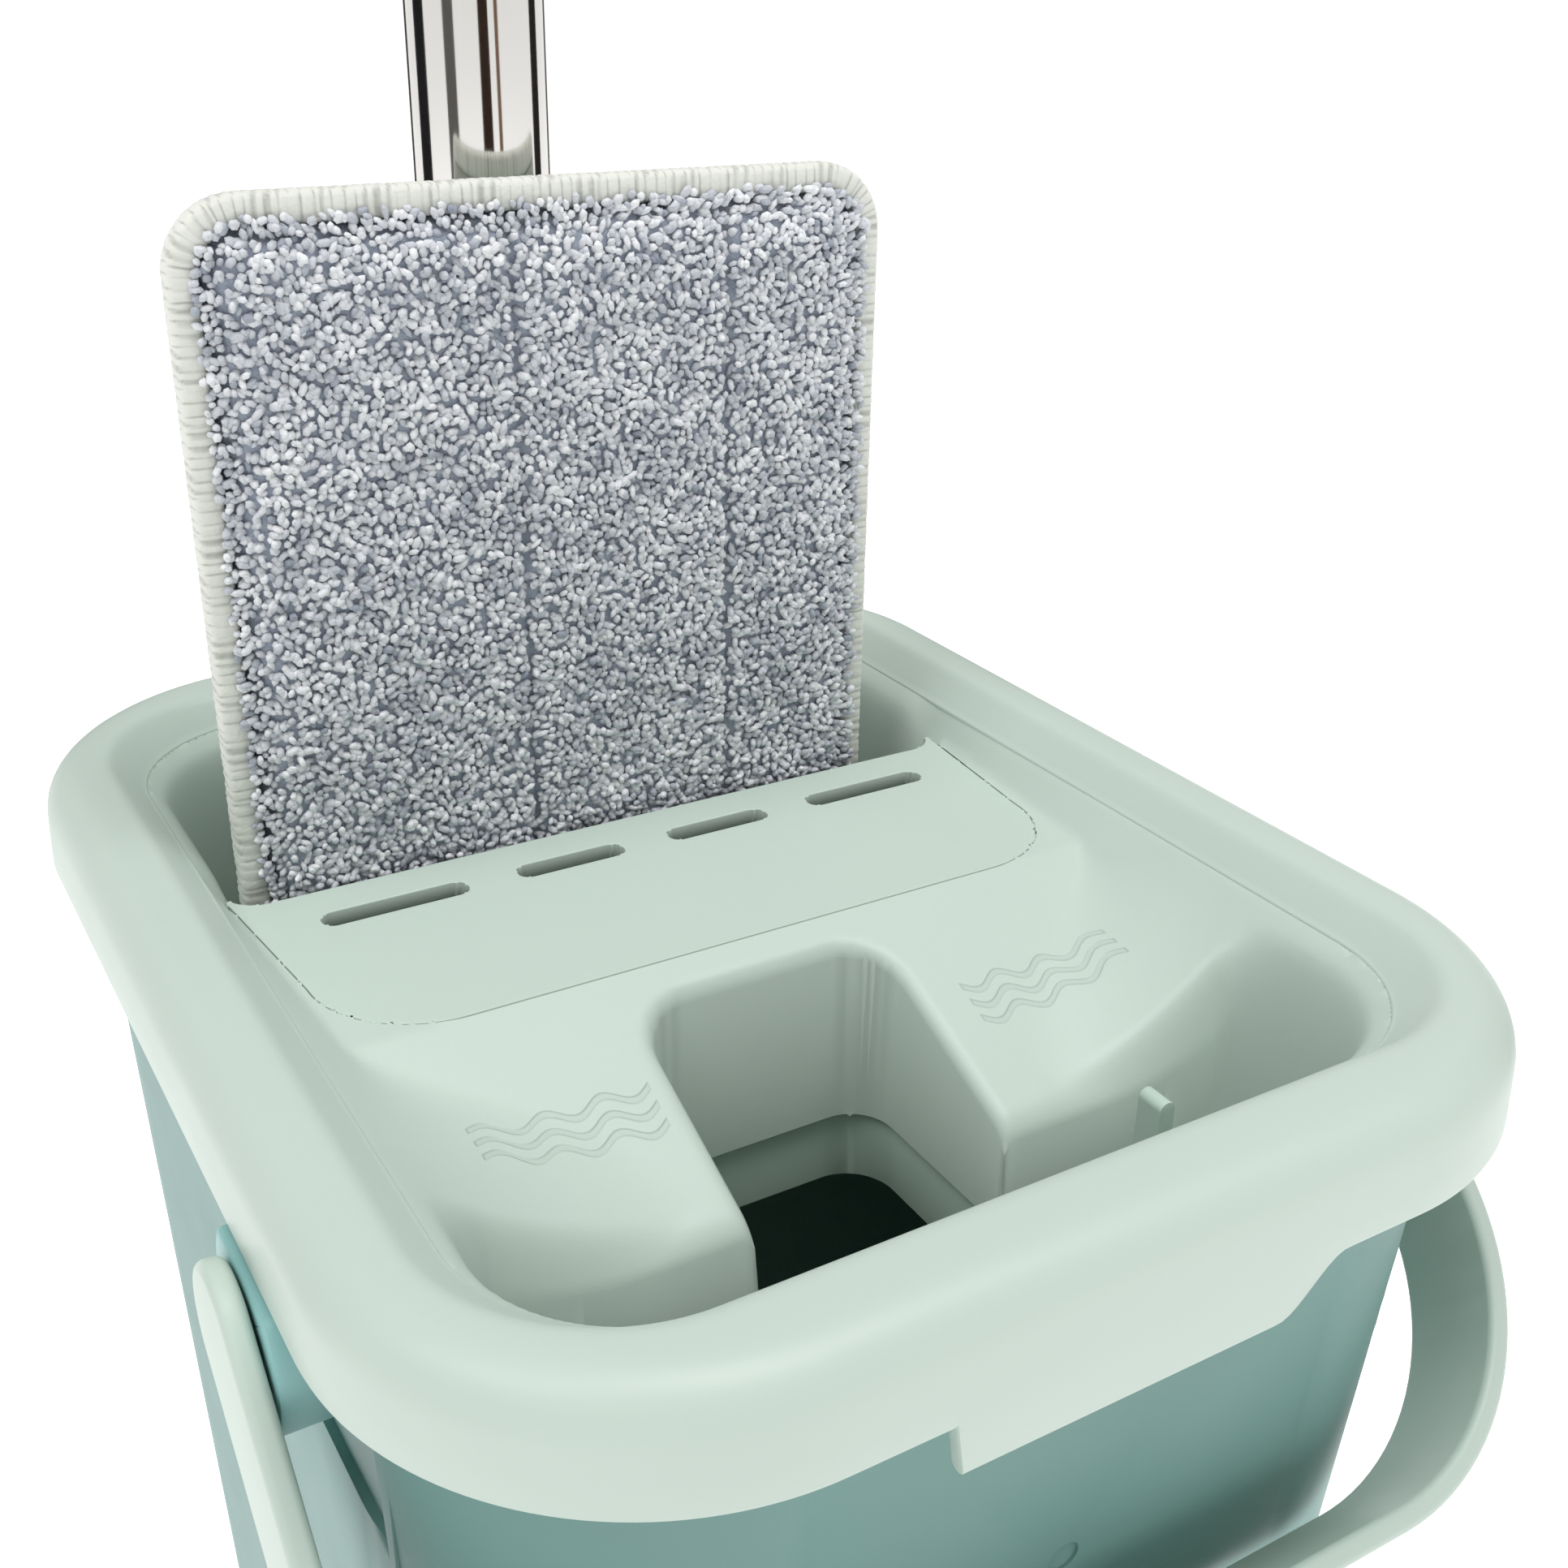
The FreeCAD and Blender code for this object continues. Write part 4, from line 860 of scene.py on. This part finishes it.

# %% [markdown]
# ## The binding
# The pad's edge is overlocked: thread wraps the edge every two millimetres, slightly slanted, and
# pulls the cloth into ribs. A band swept round the pad carries that ripple in its own surface, and
# an attribute paints shade into the hollows between threads.

# %% Binding
band_low, band_high = [corner * 1000 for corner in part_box("pad_binding")]
band_half_x, band_half_z = (band_high.x - band_low.x) / 2, (band_high.z - band_low.z) / 2
band_middle = ((band_low.x + band_high.x) / 2, (band_low.z + band_high.z) / 2)
band_y, band_thick = (band_low.y + band_high.y) / 2, (band_high.y - band_low.y) / 2
ribs = 500
binding, way_round, section = grid("edge_binding", ribs * 4, 16)
angle = section * 2 * math.pi
uneven = 0.3 * np.sin(way_round * 811.0) * np.sin(way_round * 1733.0)
phase = way_round * ribs + 0.35 * np.sin(angle) + uneven
ripple = np.abs(np.sin(math.pi * phase))
radius = 0.93 + 0.07 * ripple
offset = -2.75 + 2.72 * radius * np.sign(np.cos(angle)) * np.abs(np.cos(angle)) ** 0.6
proud = (band_thick - 0.02) * radius * np.sign(np.sin(angle)) * np.abs(np.sin(angle)) ** 0.45
x, z = rectangle_point(way_round, band_half_x + offset, band_half_z + offset, 13.0 + offset, (0.119, 0.336))
put(binding, band_middle[0] + x, band_y + proud, band_middle[1] + z)
rib = binding.data.attributes.new("rib", "FLOAT", "POINT")
rib.data.foreach_set("value", ripple)
heal(binding)
smooth(binding, 60)


def thread_finish():
    finish = Finish("overlock thread", Specular_IOR_Level=0.3, Sheen_Weight=0.3)
    found = finish.node("ShaderNodeAttribute", {"attribute_name": "rib"})
    high = Signal(finish, found.outputs["Fac"])
    strand = finish.noise(1500.0, 2.0)
    # Painted shade: where the rib attribute is low, in the hollows between threads, the thread colour is
    # darkened.
    share = (1.5 * high).at_most(1.0)
    body = finish.mix(share, paint(166, 169, 160), paint(224, 226, 218))
    finish.colour(finish.mix(0.3 * strand, body, paint(232, 233, 226)))
    finish.rough(0.7 + 0.2 * strand)
    finish.bump(strand, 0.00012)
    return finish.material


finished(binding, thread_finish(), "binding_thread", "mop_head", "pad_binding")

# %% Backing and hook strips
backing = softened("pad_backing", "woven_backing", 0.0005)
finished(backing, backing_cloth, "pad_cloth", "mop_head", "pad_backing")
strips = softened("hook_strips", "hook_tape", 0.0003)
finished(strips, hook_cloth, "hook_tape", "mop_head", "hook_strips")

# %% [markdown]
# ## Studio
# The object stands on a plain pale floor under two large soft lights. The steel needs something dark
# to mirror, as in a real studio, so narrow black and brown cards stand round the pole where only
# reflections can see them.

# %% Floor and light
def matt(name, tone, glow=0.0):
    finish = Finish(name, Roughness=0.9, Specular_IOR_Level=0.1)
    finish.colour(finish.mix(finish.noise(2.0), tone, tuple(v * 0.99 for v in tone[:3]) + (1.0,)))
    if glow:
        finish.shader.inputs["Emission Color"].default_value = (1, 1, 1, 1)
        finish.shader.inputs["Emission Strength"].default_value = glow
    return finish.material


bpy.ops.object.select_all(action="DESELECT")
bpy.ops.mesh.primitive_plane_add(size=80, location=(0, 0, 0))
floor = bpy.context.object
floor.name = "floor"
floor.data.materials.append(matt("pale floor", (0.93, 0.93, 0.93, 1), 0.65))

pole_spot = Vector((-0.006, 0.075, 0))
to_eye = math.atan2(eye.y - pole_spot.y, eye.x - pole_spot.x)
cards = [(-157, 9, (60, 58, 56)), (-104, 13, (26, 26, 28)), (-44, 9, (96, 94, 92)), (13, 8, (50, 34, 26))]
cards += [(34, 3, (120, 92, 70)), (108, 9, (34, 30, 28)), (158, 8, (92, 90, 88))]
for number, (turn, half, tone) in enumerate(cards):
    heading = to_eye + math.radians(turn)
    spot = pole_spot + 1.1 * Vector((math.cos(heading), math.sin(heading), 0))
    bpy.ops.mesh.primitive_plane_add(size=1, rotation=(math.pi / 2, 0, heading + math.pi / 2))
    card = bpy.context.object
    card.name = "card_" + str(number + 1)
    card.location = (spot.x, spot.y, 0.95)
    card.scale = (2.2 * math.tan(math.radians(half)), 1.9, 1)
    card.data.materials.append(matt("card " + str(number + 1), paint(*tone)))
    card.visible_camera = False
    card.visible_diffuse = False
    card.visible_shadow = False


def lamp(name, spot, power, size):
    bpy.ops.object.light_add(type="AREA", location=spot)
    light = bpy.context.object
    light.name = name
    light.data.energy = power
    light.data.size = size
    aim = cover_middle - Vector(spot)
    light.rotation_euler = aim.to_track_quat("-Z", "Y").to_euler()


cover_middle = Vector((0, 0, 0.36))
lamp("key", (0.65, -0.78, 4.36), 97, 2.3)
lamp("left", (-2.2, -0.26, 3.84), 52, 2.1)

world = bpy.data.worlds.new("studio")
bpy.context.scene.world = world
world.use_nodes = True
world.node_tree.nodes["Background"].inputs["Color"].default_value = (1, 1, 1, 1)
world.node_tree.nodes["Background"].inputs["Strength"].default_value = 0.43
bpy.context.scene.view_settings.view_transform = "Standard"
print("studio set")
